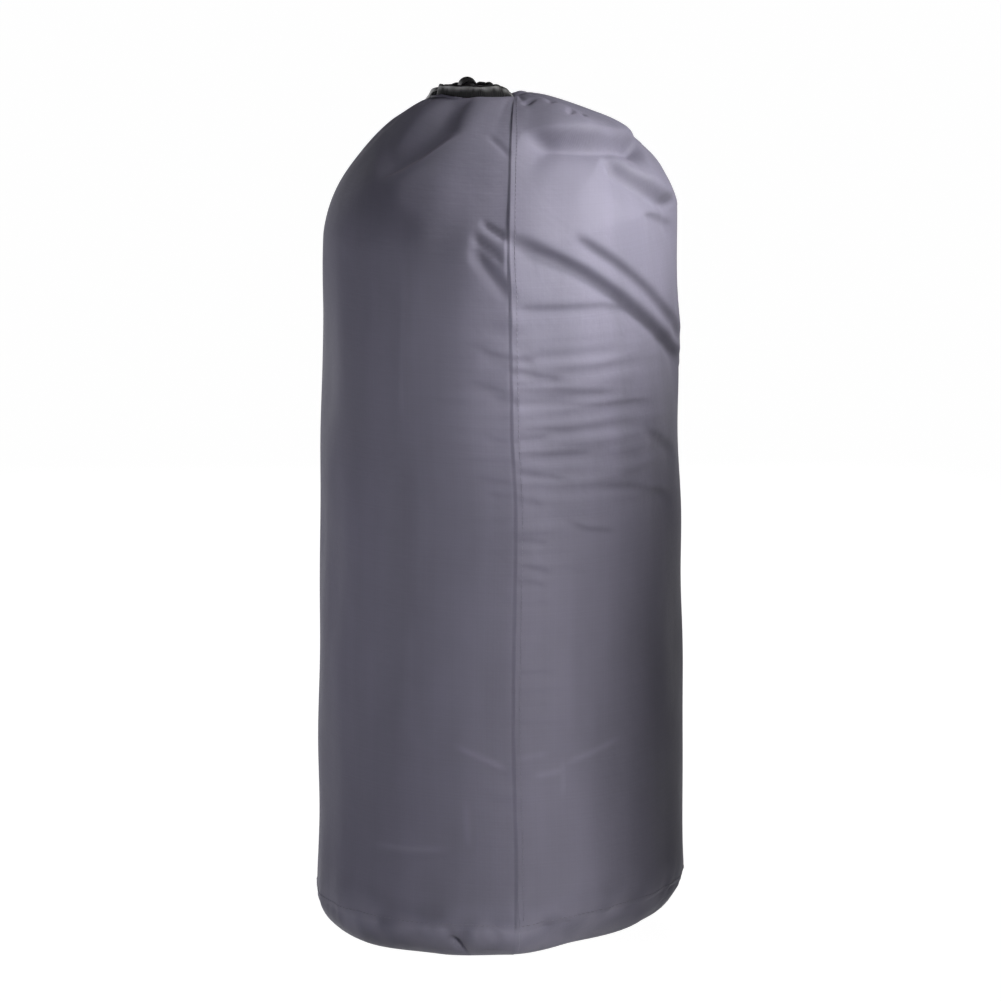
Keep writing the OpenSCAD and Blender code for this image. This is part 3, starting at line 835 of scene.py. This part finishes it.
def stretched_noise(tree, across, height, across_scale, height_scale):
    """Noise that has its own scale along each of two coordinates."""
    inputs = {
        0: math_node(tree, "MULTIPLY", across, across_scale),
        1: math_node(tree, "MULTIPLY", height, height_scale),
    }
    return noise_node(tree, add_node(tree, "ShaderNodeCombineXYZ", inputs).outputs[0], scale=1.0)


def line_noise(tree, value, axis, scale):
    """Noise that changes along one coordinate only."""
    return noise_node(tree, add_node(tree, "ShaderNodeCombineXYZ", {axis: value}).outputs[0], scale)


def colour_mix(tree, share, first, second):
    node = add_node(tree, "ShaderNodeMix", {"Factor": share, "A": first, "B": second}, data_type="RGBA")
    return node.outputs["Result"]


def remap(tree, value, low, high, out_low=0.0, out_high=1.0):
    inputs = {"Value": value, 1: low, 2: high, 3: out_low, 4: out_high}
    return add_node(tree, "ShaderNodeMapRange", inputs).outputs[0]


def painted_light_node(tree):
    return add_node(tree, "ShaderNodeAttribute", attribute_name=PAINTED_LIGHT).outputs["Fac"]


def object_place(tree):
    return add_node(tree, "ShaderNodeTexCoord").outputs["Object"]


def texture_place(tree):
    """The two texture coordinates."""
    coordinates = add_node(tree, "ShaderNodeTexCoord")
    split = add_node(tree, "ShaderNodeSeparateXYZ", {0: coordinates.outputs["UV"]})
    return split.outputs["X"], split.outputs["Y"]


def new_material(name):
    material = bpy.data.materials.new(name)
    material.use_nodes = True
    return material, material.node_tree


def set_surface(tree, colour, roughness, specular=0.5, metallic=0.0):
    """Sets the looks of a material, and gives its shader."""
    shader = tree.nodes["Principled BSDF"]
    set_input(tree, shader, "Base Color", colour)
    set_input(tree, shader, "Roughness", roughness)
    set_input(tree, shader, "Specular IOR Level", specular)
    set_input(tree, shader, "Metallic", metallic)
    return shader


def add_bump(tree, shader, height, distance, strength, normal=None):
    """Bumps from a height, on top of other bumps if their normal is given."""
    inputs = {"Height": height, "Distance": distance, "Strength": strength}
    if normal is not None:
        inputs["Normal"] = normal
    bump = add_node(tree, "ShaderNodeBump", inputs)
    tree.links.new(bump.outputs["Normal"], shader.inputs["Normal"])
    return bump.outputs["Normal"]


def coated_nylon(name):
    """Fine plain-weave nylon with a coating: a soft sheen, streaks of uneven thread, a crumpled feel, and
    painted light where its creases and base seam catch light.
    """
    material, tree = new_material(name)
    place = object_place(tree)
    across, height = texture_place(tree)
    weave = wave_pair(tree, across, height, NYLON_WEAVE)
    warp = line_noise(tree, across, axis=0, scale=900.0)
    weft = line_noise(tree, height, axis=1, scale=900.0)
    streaks = math_node(tree, "ADD", warp, weft)
    cloudy = noise_node(tree, place, scale=14.0, detail=3.0)
    bands = stretched_noise(tree, across, height, across_scale=34.0, height_scale=4.0)
    tone = math_node(tree, "ADD", scaled_sum(tree, streaks, 0.35, cloudy), bands)
    colour = colour_mix(tree, remap(tree, tone, 1.0, 1.7), NYLON_DARK, NYLON_LIGHT)
    # Painted light: the cloth pales where the attribute marks creases and the base seam that catch light
    painted_light_share = math_node(tree, "MULTIPLY", painted_light_node(tree), NYLON_PAINTED_LIGHT_SHARE)
    roughness = remap(tree, cloudy, 0.3, 0.7, 0.54, 0.64)
    shader = set_surface(tree, colour_mix(tree, painted_light_share, colour, NYLON_PAINTED_LIGHT), roughness, specular=0.18)
    crumple = noise_node(tree, place, scale=55.0, detail=3.0, roughness=0.55)
    normal = add_bump(tree, shader, crumple, distance=0.0012, strength=0.55)
    slubs = stretched_noise(tree, across, height, across_scale=36.0, height_scale=420.0)
    normal = add_bump(tree, shader, slubs, distance=0.00025, strength=0.3, normal=normal)
    threads = math_node(tree, "ADD", weave, streaks)
    add_bump(tree, shader, threads, distance=0.00006, strength=0.5, normal=normal)
    return material


def woven_tape(name):
    """Black ribbed tape, with a painted glint where the attribute marks it."""
    material, tree = new_material(name)
    across, height = texture_place(tree)
    ribs = wave_pair(tree, across, height, TAPE_RIB)
    fluff = noise_node(tree, object_place(tree), scale=700.0, detail=3.0)
    share = remap(tree, scaled_sum(tree, ribs, 0.3, fluff), 0.2, 0.9)
    colour = colour_mix(tree, share, TAPE_DARK, TAPE_LIGHT)
    # Painted glint: the tape pales to light grey where the attribute marks it
    painted_glint_colour = colour_mix(tree, painted_light_node(tree), colour, TAPE_PAINTED_GLINT)
    shader = set_surface(tree, painted_glint_colour, roughness=0.5, specular=0.16)
    add_bump(tree, shader, math_node(tree, "ADD", ribs, fluff), distance=0.0002, strength=0.6)
    return material


def braided_cord(name):
    """Round braid: strands that cross on two slants."""
    material, tree = new_material(name)
    length, turn = texture_place(tree)
    slant_one = math_node(tree, "ADD", length, turn)
    slant_two = math_node(tree, "SUBTRACT", length, turn)
    braid = wave_pair(tree, slant_one, slant_two, BRAID_PITCH)
    fluff = noise_node(tree, object_place(tree), scale=1500.0)
    tone = scaled_sum(tree, braid, 0.5, fluff)
    colour = colour_mix(tree, remap(tree, tone, 0.0, 1.0), BRAID_DARK, BRAID_LIGHT)
    shader = set_surface(tree, colour, roughness=0.38, specular=0.7)
    add_bump(tree, shader, tone, distance=0.00025, strength=0.8)
    return material


def sewing_thread(name):
    """Twisted thread."""
    material, tree = new_material(name)
    length, turn = texture_place(tree)
    twist = sine_wave(tree, scaled_sum(tree, turn, THREAD_SLANT, length), THREAD_TWIST)
    colour = colour_mix(tree, remap(tree, twist, -1.0, 1.0), THREAD_DARK, THREAD_LIGHT)
    shader = set_surface(tree, colour, roughness=0.45)
    add_bump(tree, shader, twist, distance=0.00006, strength=0.7)
    return material


def moulded_plastic(name):
    """Black moulded plastic with a fine spark-eroded texture."""
    material, tree = new_material(name)
    place = object_place(tree)
    grain = noise_node(tree, place, scale=2600.0)
    cloudy = noise_node(tree, place, scale=160.0)
    share = remap(tree, scaled_sum(tree, grain, 0.4, cloudy), 0.4, 1.0)
    roughness = remap(tree, cloudy, 0.3, 0.7, 0.32, 0.46)
    colour = colour_mix(tree, share, PLASTIC_DARK, PLASTIC_LIGHT)
    shader = set_surface(tree, colour, roughness, specular=0.3)
    add_bump(tree, shader, grain, distance=0.00006, strength=0.5)
    return material


def spring_wire(name):
    """Drawn steel wire with fine lengthwise marks."""
    material, tree = new_material(name)
    marks = line_noise(tree, texture_place(tree)[1], axis=0, scale=9000.0)
    roughness = remap(tree, marks, 0.3, 0.7, 0.22, 0.34)
    set_surface(tree, colour_mix(tree, marks, STEEL_DARK, STEEL_LIGHT), roughness, metallic=1.0)
    return material


def studio_floor(name):
    """White floor that stays white to the camera and keeps a soft shadow."""
    material, tree = new_material(name)
    tree.nodes.clear()
    output = add_node(tree, "ShaderNodeOutputMaterial")
    rays = add_node(tree, "ShaderNodeLightPath")
    seen = math_node(tree, "MAXIMUM", rays.outputs["Is Camera Ray"], rays.outputs["Is Glossy Ray"])
    seen = math_node(tree, "MAXIMUM", seen, rays.outputs["Is Transmission Ray"])
    plain = add_node(tree, "ShaderNodeBsdfDiffuse", {"Color": FLOOR_GREY})
    shade = add_node(tree, "ShaderNodeBsdfDiffuse", {"Color": FLOOR_SHADE})
    glow = add_node(tree, "ShaderNodeEmission", {"Color": FLOOR_GLOW, "Strength": 1.0})
    white = add_node(tree, "ShaderNodeAddShader", {0: shade.outputs[0], 1: glow.outputs[0]})
    mix = add_node(tree, "ShaderNodeMixShader", {0: seen, 1: plain.outputs[0], 2: white.outputs[0]})
    tree.links.new(mix.outputs[0], output.inputs["Surface"])
    return material


NYLON = coated_nylon("sack_nylon")
TAPE = woven_tape("black_tape")
CORD = braided_cord("black_braid")
THREAD = sewing_thread("grey_thread")
PLASTIC = moulded_plastic("black_plastic")
STEEL = spring_wire("spring_steel")


# Sack cloth
SURFACE, ACROSS, HEIGHT, SMOOTH_NORMALS = dressed_grid()
NORMALS = normals_of(SURFACE)


def mark_painted_light(piece, painted_light_amount):
    """Keeps the painted light at each point, for its material."""
    attribute = piece.data.attributes.new(PAINTED_LIGHT, "FLOAT", "POINT")
    attribute.data.foreach_set("value", painted_light_amount.ravel())


def build_panels():
    count = COLUMNS_A_PANEL
    uv = np.stack([ACROSS, HEIGHT], axis=-1)
    # Painted light on the cloth: highlights along raised creases and light round the base seam
    painted_light_amount = np.maximum(crease_painted_light(ACROSS, HEIGHT), base_painted_light(SURFACE, HEIGHT))
    right_columns = np.arange(count + 1)
    left_columns = np.arange(count, 2 * count + 1) % (2 * count)
    for node, columns in (("right_panel", right_columns), ("left_panel", left_columns)):
        panel_uv = uv[SEAM_ROW:, columns]
        if node == "left_panel":
            # At the back seam the grid has the right panel's distance, so the left panel's own is carried on.
            panel_uv[:, 0, 0] = 2.0 * panel_uv[:, 1, 0] - panel_uv[:, 2, 0]
        piece = grid_piece(node + "_cloth", SURFACE[SEAM_ROW:, columns], panel_uv, NYLON)
        mark_painted_light(piece, painted_light_amount[SEAM_ROW:, columns])
        stand_in(piece, "sack", node)


def build_base():
    """The rounded base, with a fan of triangles in its middle."""
    grid = SURFACE[:SEAM_ROW + 1]
    columns = grid.shape[1]
    faces, places = grid_faces(grid.shape[0], columns, True)
    wrapped = np.concatenate([grid, grid[:, :1]], axis=1)
    uv = wrapped[..., :2].reshape(-1, 2)[places]
    middle = grid.shape[0] * columns
    fan = [[middle, (k + 1) % columns, k] for k in range(columns)]
    fan_uv = np.concatenate([[[0.0, 0.0], wrapped[0, k + 1, :2], wrapped[0, k, :2]] for k in range(columns)])
    vertices = np.concatenate([grid.reshape(-1, 3), [[0.0, 0.0, 0.0]]])
    base = add_piece("base_panel_cloth", vertices, faces.tolist() + fan, np.concatenate([uv, fan_uv]), NYLON)
    # Painted light round the base seam, on the base's side of it
    mark_painted_light(base, np.append(base_painted_light(SURFACE, HEIGHT)[:SEAM_ROW + 1], 0.0))
    stand_in(base, "sack", "base_panel")


# Stitching: its distance from a side seam, but at most a share of the panel's width, and the stitches
STITCH_OFFSET = 3.0
STITCH_WIDEST_SHARE = 0.4
STITCH_PITCH = 3.4
STITCH_LENGTH = 2.5
THREAD_DIAMETER = 0.4
THREAD_SIDES = 6
# Arch of one stitch: places along its half length, and how far the thread lies off the cloth
ARCH_PLACES = np.array([-1.0, -0.7, -0.25, 0.25, 0.7, 1.0])
ARCH_LIFTS = np.array([-0.35, 0.10, 0.28, 0.28, 0.10, -0.35])
# Rows of cloth left free at both ends of a side seam, the row of the base seam's stitches above that seam,
# and the points by which they go on past their start
STITCH_LOW_ROWS = 4
STITCH_TOP_ROWS = 3
BASE_STITCH_ROWS = 3
BASE_STITCH_LAP = 4


def stitch_piece(name, line, normals):
    """A stitch over each pitch of a line on the cloth, as short arched threads."""
    places = even_places(line, STITCH_PITCH)
    half = 0.5 * STITCH_LENGTH / STITCH_PITCH
    stitches = []
    for k in range(1, len(places) - 1):
        step = 0.5 * (places[k + 1] - places[k - 1])
        spread = places[k] + step * half * ARCH_PLACES
        stitches.append(values_at(line, spread) + values_at(normals, spread) * ARCH_LIFTS[:, None])
    return tube_piece(name, stitches, 0.5 * THREAD_DIAMETER, THREAD_SIDES, THREAD)


def line_beside_seam(columns):
    """Line on a panel beside the seam at the first of its columns, from the base seam up to the casing."""
    points = []
    normals = []
    for row in range(SEAM_ROW + STITCH_LOW_ROWS, SURFACE.shape[0] - TUCK_ROWS - STITCH_TOP_ROWS):
        distance = lengths_along(SURFACE[row, columns])
        offset = min(STITCH_OFFSET, STITCH_WIDEST_SHARE * distance[-1])
        place = np.interp(offset, distance, np.arange(len(columns)))
        points.append(values_at(SURFACE[row, columns], [place])[0])
        normals.append(values_at(NORMALS[row, columns], [place])[0])
    return np.array(points), np.array(normals)


def build_stitching():
    from_front = np.arange(COLUMNS_A_PANEL + 1)
    for node, columns in (("front_seam_thread", from_front), ("back_seam_thread", from_front[::-1])):
        piece = stitch_piece(node + "_stitches", *line_beside_seam(columns))
        stand_in(piece, "sack", node)
    row = SEAM_ROW + BASE_STITCH_ROWS
    loop = np.concatenate([SURFACE[row], SURFACE[row, :BASE_STITCH_LAP]])
    loop_normals = np.concatenate([NORMALS[row], NORMALS[row, :BASE_STITCH_LAP]])
    piece = stitch_piece("base_seam_stitches", loop, loop_normals)
    stand_in(piece, "sack", "base_seam_thread")


# Bound seam edges inside the sack: half the tape's section, as depth inside the cloth and share of the tape's
# half thickness, how the tape sways, and the rows of cloth that it leaves free at its foot and its top
BINDING_DEPTH = 9.0
BINDING_HALF = 1.1
BINDING_EDGE = [(2.2, 0.9), (3.0, 1.0), (5.0, 1.0), (8.3, 1.0), (BINDING_DEPTH, 0.6)]
BINDING_GIRTH = 20.0
BINDING_SWAY = 0.6
BINDING_SWAY_LENGTH = 40.0
BINDING_LOW_ROWS = 6
BINDING_TOP_ROWS = 44
# Rows or columns of cloth from one section of the tape to the next
BINDING_STEP = 3


def binding_piece(name, line, inward, sideways, node):
    """Tape folded over a raw seam edge: a flat rounded section that follows the seam inside the sack."""
    section = [(depth, -half) for depth, half in BINDING_EDGE] + BINDING_EDGE[::-1]
    sway = BINDING_SWAY * waves(line, BINDING_SWAY_LENGTH, SEED + 61)
    grid = np.empty((len(line), len(section), 3))
    for k, (depth, half) in enumerate(section):
        lean = sway * depth / BINDING_DEPTH
        grid[:, k] = line + inward * depth + sideways * (half * BINDING_HALF + lean)[:, None]
    rounds = np.linspace(0.0, BINDING_GIRTH, len(section) + 1)
    piece = grid_piece(name, grid, uv_grid(lengths_along(line), rounds), TAPE, closed=True)
    stand_in(piece, "sack", node)


def build_bindings():
    top = SURFACE.shape[0] - TUCK_ROWS - BINDING_TOP_ROWS
    rows = slice(SEAM_ROW + BINDING_LOW_ROWS, top, BINDING_STEP)
    for node, column in (("front_seam_binding", 0), ("back_seam_binding", COLUMNS_A_PANEL)):
        line = SURFACE[rows, column]
        heading = np.gradient(line, axis=0)
        heading /= np.linalg.norm(heading, axis=1, keepdims=True)
        inward = -SMOOTH_NORMALS[rows, column]
        binding_piece(node + "_tape", line, inward, np.cross(heading, inward), node)
    line = np.concatenate([SURFACE[SEAM_ROW, ::BINDING_STEP], SURFACE[SEAM_ROW, :1]])
    inward = -line * [1.0, 1.0, 0.0]
    inward /= np.linalg.norm(inward, axis=1, keepdims=True)
    upward = np.broadcast_to([0.0, 0.0, 1.0], line.shape)
    binding_piece("base_seam_tape", line, inward, upward, "base_seam_binding")


# Gathered casing at the mouth
CASING_COLUMNS = 360
CASING_SECTION = 180
CASING_SQUARENESS = 0.62
CASING_GIRTH = 40.0
# Folds between the gathers: count, how they vary in place, depth and width, and how far they go in and down.
# Place and width are in radians.
PLEATS = 22
PLEAT_PLACE = (-0.11, 0.11)
PLEAT_SHARE = (0.3, 1.0)
PLEAT_WIDTH = (0.02, 0.06)
PLEAT_INWARD = 1.1
PLEAT_DOWN = 1.2
# Smooth front: angles over which it starts and ends, and the share of the folds that it loses
FRONT_STARTS = (195.0, 215.0)
FRONT_ENDS = (335.0, 358.0)
FRONT_SMOOTHS = 0.8
# Where the gathers stand up: angles over which a lip rises and falls, its radius, half width and height
LIPS = [
    ((8.0, 50.0), (128.0, 141.0), 21.5, 4.6, 7.0),
    ((200.0, 210.0), (296.0, 360.0), 26.2, 1.2, 11.4),
]
# Section of a lip: where it grows out of the casing, and how it narrows, as shares of both half sizes
LIP_GROWS = (0.0, 0.6)
LIP_NARROWS = (0.3, 1.0)
# Uneven top of a lip: waves as a share of its height, the circle that they run on, their length, the share of
# them that the front loses, and the folds as a share of its height
RUFFLE = 0.06
RUFFLE_RADIUS = 30.0
RUFFLE_LENGTH = 13.0
FRONT_SMOOTHS_RUFFLE = 0.7
LIP_FOLD = 0.12
# Slot where the cord leaves: how its ends slope, in degrees past the exit's span, how its sides slope, where
# it starts up the section, and its depth below the cord's middle
SLOT_ENDS = (-4.0, 2.0)
SLOT_SIDES = (2.2, 3.2)
SLOT_ABOVE = 0.2
SLOT_BELOW_CORD = 1.8
# Painted glint along the front of the casing's lip, standing in for the light it catches: its place round the
# section and its width, as angles, and its blotches
PAINTED_GLINT_PLACE = 23.6
PAINTED_GLINT_WIDTH = 3.2
PAINTED_GLINT_BLOTCH = 9.0
PAINTED_GLINT_LEVEL = 0.75
PAINTED_GLINT_SWING = 0.3
# Angles round the mouth over which the painted glint weakens to this share
PAINTED_GLINT_WEAKENS = (228.0, 262.0)
PAINTED_GLINT_WEAK = 0.36


def pleat_shape(angle):
    """Depth of the gathers round the casing, from 0 on a rounded pleat to 1 in the fold between two."""
    random = np.random.default_rng(SEED + 70)
    even = np.linspace(0.0, FULL_TURN, PLEATS, endpoint=False)
    edges = even + random.uniform(*PLEAT_PLACE, PLEATS)
    depth = np.zeros(angle.shape)
    for edge in edges:
        off = np.angle(np.exp(1j * (angle - edge)))
        depth += random.uniform(*PLEAT_SHARE) * np.exp(-np.abs(off) / random.uniform(*PLEAT_WIDTH))
    return np.clip(depth, 0.0, 1.0)


def squared(wave):
    """A sine or cosine whose round is drawn towards a square."""
    return np.sign(wave) * np.abs(wave) ** CASING_SQUARENESS


def build_casing():
    angle = np.linspace(0.0, FULL_TURN, CASING_COLUMNS, endpoint=False)
    turn = np.linspace(0.0, FULL_TURN, CASING_SECTION, endpoint=False)
    angle, turn = np.meshgrid(angle, turn, indexing="ij")
    half_width = 0.5 * (CASING_RADIUS - CASING_INNER)
    half_height = 0.5 * CASING_HEIGHT
    up = squared(np.sin(turn))
    degrees = np.degrees(angle)
    in_front = smoothstep(*FRONT_STARTS, degrees) * (1.0 - smoothstep(*FRONT_ENDS, degrees))
    fold = pleat_shape(angle) * (1.0 - FRONT_SMOOTHS * in_front)
    radius = CASING_INNER + half_width + squared(np.cos(turn)) * (half_width - PLEAT_INWARD * fold)
    height = MOUTH[2] - half_height + up * (half_height - PLEAT_DOWN * fold)

    circle = RUFFLE_RADIUS * np.stack([np.cos(angle), np.sin(angle)], axis=-1)
    ruffle = RUFFLE * waves(circle, RUFFLE_LENGTH, SEED + 71) * (1.0 - FRONT_SMOOTHS_RUFFLE * in_front)
    for start, end, lip_radius, lip_half_width, lip_height in LIPS:
        standing = smoothstep(*start, degrees) * (1.0 - smoothstep(*end, degrees))
        off_middle = np.abs(radius - lip_radius) / lip_half_width
        lip = standing * smoothstep(*LIP_GROWS, up) * (1.0 - smoothstep(*LIP_NARROWS, off_middle))
        height += lip * lip_height * (1.0 + ruffle - LIP_FOLD * fold)

    off_exit = np.degrees(np.angle(np.exp(1j * (angle - math.radians(EXIT_ANGLE)))))
    in_span = 1.0 - smoothstep(*SLOT_ENDS, np.abs(off_exit) - 0.5 * EXIT_SPAN)
    in_slot = 1.0 - smoothstep(*SLOT_SIDES, np.abs(radius - CORD_RING_RADIUS))
    slot_floor = MOUTH[2] - CORD_RING_DEPTH - SLOT_BELOW_CORD
    height -= in_span * in_slot * (up > SLOT_ABOVE) * (height - slot_floor)

    x = MOUTH[0] + radius * np.cos(angle)
    y = MOUTH[1] + radius * np.sin(angle)
    grid = np.stack([x, y, height], axis=-1)
    grid = np.concatenate([grid, grid[:1]])
    lengths = np.linspace(0.0, FULL_TURN * CASING_RADIUS, CASING_COLUMNS + 1)
    rounds = np.linspace(0.0, CASING_GIRTH, CASING_SECTION + 1)
    piece = grid_piece("gathered_casing", grid, uv_grid(lengths, rounds), TAPE, closed=True)
    # Painted glint along the front of the lip, strongest on the left
    strength = 1.0 - (1.0 - PAINTED_GLINT_WEAK) * smoothstep(*PAINTED_GLINT_WEAKENS, degrees)
    painted_glint = in_front * bell(np.degrees(turn) - PAINTED_GLINT_PLACE, PAINTED_GLINT_WIDTH) * strength
    painted_glint = np.concatenate([painted_glint, painted_glint[:1]])
    mark_painted_light(piece, painted_glint * blotches(grid, PAINTED_GLINT_BLOTCH, SEED + 72, PAINTED_GLINT_LEVEL, PAINTED_GLINT_SWING))
    stand_in(piece, "sack", "hem_casing")


# Drawcord: how finely it is drawn, and where its free ends leave the casing
CORD_SIDES = 16
RING_POINTS = 160


def build_cords():
    radius = 0.5 * CORD_DIAMETER
    gap = math.radians(0.5 * RING_GAP)
    middle = math.radians(EXIT_ANGLE)
    angle = np.linspace(middle + gap, middle + FULL_TURN - gap, RING_POINTS)
    depth = np.full(RING_POINTS, -CORD_RING_DEPTH)
    ring = np.stack([CORD_RING_RADIUS * np.cos(angle), CORD_RING_RADIUS * np.sin(angle), depth], axis=-1)
    piece = tube_piece("drawcord_in_casing", [MOUTH + ring], radius, CORD_SIDES, CORD)
    stand_in(piece, "sack", "drawcord_ring")

    knot = build_knot()
    for name, route in (("drawcord_tail_front", FRONT_ROUTE), ("drawcord_tail_back", BACK_ROUTE)):
        line = smooth_route(route)
        piece = tube_piece(name + "_cord", [line], radius, CORD_SIDES, CORD)
        stand_in(piece, "sack", name)


# Knot: its middle, how far above its end each cord is taken up, and the points of both ends from the middle
KNOT = MOUTH + np.array([-32.6, 116.5, -231.5])
KNOT_LEAD = np.array([0.0, 0.0, 2.0])
FRONT_KNOT_END = [(-0.9, -0.4, 1.0), (-1.4, 0.2, -6.0), (-2.0, 0.3, -16.0)]
BACK_KNOT_END = [(0.9, 0.4, 1.0), (1.4, 0.2, -6.0), (2.0, -0.3, -16.0)]
KNOT_STEPS = 10
KNOT_SIDES = 14
# Cord wrapped round both ends: its turns, from where to where it goes down, its radius, and how far and over
# which share of each half it draws in at its own ends
WRAP_TURNS = 2.6
WRAP_POINTS = 80
WRAP_TOP = 2.4
WRAP_LOW = -3.0
WRAP_RADIUS = 3.4
WRAP_DRAWS_IN = 1.4
WRAP_END_SHARE = 0.15


def curve_through(points):
    """Dense smooth line through a few points."""
    padded = np.concatenate([[2 * points[0] - points[1]], points, [2 * points[-1] - points[-2]]])
    line = []
    for i in range(len(points) - 1):
        p0, p1, p2, p3 = padded[i:i + 4]
        for t in np.arange(KNOT_STEPS) / KNOT_STEPS:
            square = (2 * p0 - 5 * p1 + 4 * p2 - p3) * t**2
            cubic = (3 * p1 - p0 - 3 * p2 + p3) * t**3
            line.append(0.5 * (2 * p1 + (p2 - p0) * t + square + cubic))
    line.append(points[-1])
    return np.array(line)


def build_knot():
    """The two cord ends laid together and wrapped by one of them, with both ends hanging out below."""
    lines = []
    for route, knot_end in ((FRONT_ROUTE, FRONT_KNOT_END), (BACK_ROUTE, BACK_KNOT_END)):
        end = MOUTH + np.array(route[-1])
        lines.append(curve_through(np.concatenate([[end + KNOT_LEAD, end], KNOT + np.array(knot_end)])))
    turn = np.linspace(0.0, WRAP_TURNS * FULL_TURN, WRAP_POINTS)
    fall = np.linspace(WRAP_TOP, WRAP_LOW, WRAP_POINTS)
    from_middle = np.abs(np.linspace(-1.0, 1.0, WRAP_POINTS))
    at_ends = np.clip(from_middle - (1.0 - WRAP_END_SHARE), 0.0, 1.0) / WRAP_END_SHARE
    wide = WRAP_RADIUS - WRAP_DRAWS_IN * at_ends
    lines.append(KNOT + np.stack([wide * np.cos(turn), wide * np.sin(turn), fall], axis=-1))
    piece = tube_piece("tail_knot_cord", lines, 0.5 * CORD_DIAMETER, KNOT_SIDES, CORD)
    stand_in(piece, "sack", "tail_knot")
    return piece


# Cord lock: its axis, which runs front to back, and the spring on it
LOCK_X = -21.0
LOCK_Z = 543.4
SPRING_LOW = -3.15
SPRING_HIGH = 2.45
SPRING_RADIUS = 3.0
SPRING_TURNS = 4.0
SPRING_POINTS = 160
WIRE_RADIUS = 0.25
WIRE_SIDES = 8


def build_lock():
    for name in ("cord_lock_barrel", "cord_lock_plunger"):
        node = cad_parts[name]
        node.data.materials.clear()
        node.data.materials.append(PLASTIC)
    turn = np.linspace(0.0, SPRING_TURNS * FULL_TURN, SPRING_POINTS)
    x = LOCK_X + SPRING_RADIUS * np.cos(turn)
    y = np.linspace(SPRING_LOW, SPRING_HIGH, SPRING_POINTS)
    z = LOCK_Z + SPRING_RADIUS * np.sin(turn)
    coil = np.stack([x, y, z], axis=-1)
    spring = tube_piece("cord_lock_coil", [coil], WIRE_RADIUS, WIRE_SIDES, STEEL)
    stand_in(spring, "cord_lock", "cord_lock_spring")
    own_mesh(spring)


# Studio lights: name, direction as azimuth and elevation, distance, target, size, spread, power and colour
WARM = (1.0, 0.99, 0.97)
COOL = (0.95, 0.955, 1.0)
LIGHTS = [
    ("front_strip", (22.0, 6.0), 1300.0, (19.0, -118.0, 198.0), (80.0, 550.0), 9.2, 0.16, WARM),
    ("front_upper", (-8.0, 14.0), 1300.0, (-14.0, -122.0, 380.0), (30.0, 120.0), 3.4, 0.004, WARM),
    ("upper_right", (75.0, 48.0), 1300.0, (70.0, -66.0, 475.0), (160.0, 160.0), 13.0, 0.182, WARM),
    ("right", (55.0, 15.0), 1300.0, (46.0, -82.0, 478.0), (160.0, 160.0), 10.5, 0.114, WARM),
    ("left_fill", (-54.0, 2.0), 600.0, (-60.0, -60.0, 270.0), (500.0, 500.0), 120.0, 0.68, COOL),
    ("back_left", (-150.0, 10.0), 1500.0, (-60.0, 0.0, 280.0), (500.0, 900.0), 90.0, 0.72, COOL),
    ("back_fill", (178.0, 10.0), 1800.0, (0.0, 0.0, 280.0), (900.0, 900.0), 90.0, 5.0, COOL),
]
# The light that leaves no glint on the part
NO_GLINT = "back_fill"
WORLD_COLOUR = (1.0, 1.0, 1.0, 1.0)
WORLD_STRENGTH = 0.04
FLOOR_HALF = 20000.0


def aim(thing, place, target):
    thing.location = Vector(place) * MM
    direction = (Vector(target) - Vector(place)).normalized()
    thing.rotation_euler = direction.to_track_quat("-Z", "Y").to_euler()


def place_at(azimuth, elevation, distance, target):
    """Point at a direction from a target: azimuth 0 is in front, positive to the right."""
    flat = distance * math.cos(math.radians(elevation))
    return (
        target[0] + flat * math.sin(math.radians(azimuth)),
        target[1] - flat * math.cos(math.radians(azimuth)),
        target[2] + distance * math.sin(math.radians(elevation)),
    )


def add_light(name, direction, distance, target, size, spread, power, colour):
    """Rectangular light that looks at a target from a direction, its azimuth and elevation."""
    data = bpy.data.lights.new(name, "AREA")
    data.shape = "RECTANGLE"
    data.size = size[0] * MM
    data.size_y = size[1] * MM
    data.spread = math.radians(spread)
    data.energy = power
    data.color = colour
    light = bpy.data.objects.new(name, data)
    bpy.context.collection.objects.link(light)
    aim(light, place_at(*direction, distance, target), target)
    light.visible_glossy = name != NO_GLINT


def add_camera(scene):
    data = bpy.data.cameras.new("camera")
    data.lens = CAMERA_LENS
    data.sensor_width = CAMERA_SENSOR
    data.clip_end = CAMERA_CLIP_END * MM
    camera = bpy.data.objects.new("camera", data)
    scene.collection.objects.link(camera)
    turn = math.radians(CAMERA_AZIMUTH)
    place = (CAMERA_DISTANCE * math.sin(turn), -CAMERA_DISTANCE * math.cos(turn), CAMERA_HEIGHT)
    aim(camera, place, (0.0, 0.0, CAMERA_AIM_HEIGHT))
    scene.camera = camera


def build_studio():
    scene = bpy.context.scene
    scene.view_settings.view_transform = "Standard"
    add_camera(scene)

    world = bpy.data.worlds.new("studio")
    world.use_nodes = True
    scene.world = world
    background = world.node_tree.nodes["Background"]
    background.inputs["Color"].default_value = WORLD_COLOUR
    background.inputs["Strength"].default_value = WORLD_STRENGTH

    corners = np.array([(-1.0, -1.0, 0.0), (1.0, -1.0, 0.0), (1.0, 1.0, 0.0), (-1.0, 1.0, 0.0)])
    floor = add_piece("floor", FLOOR_HALF * corners, [[0, 1, 2, 3]], np.zeros((4, 2)), studio_floor("floor"))

    for light in LIGHTS:
        add_light(*light)


build_panels()
build_base()
build_stitching()
build_bindings()
build_casing()
build_cords()
build_lock()
build_studio()
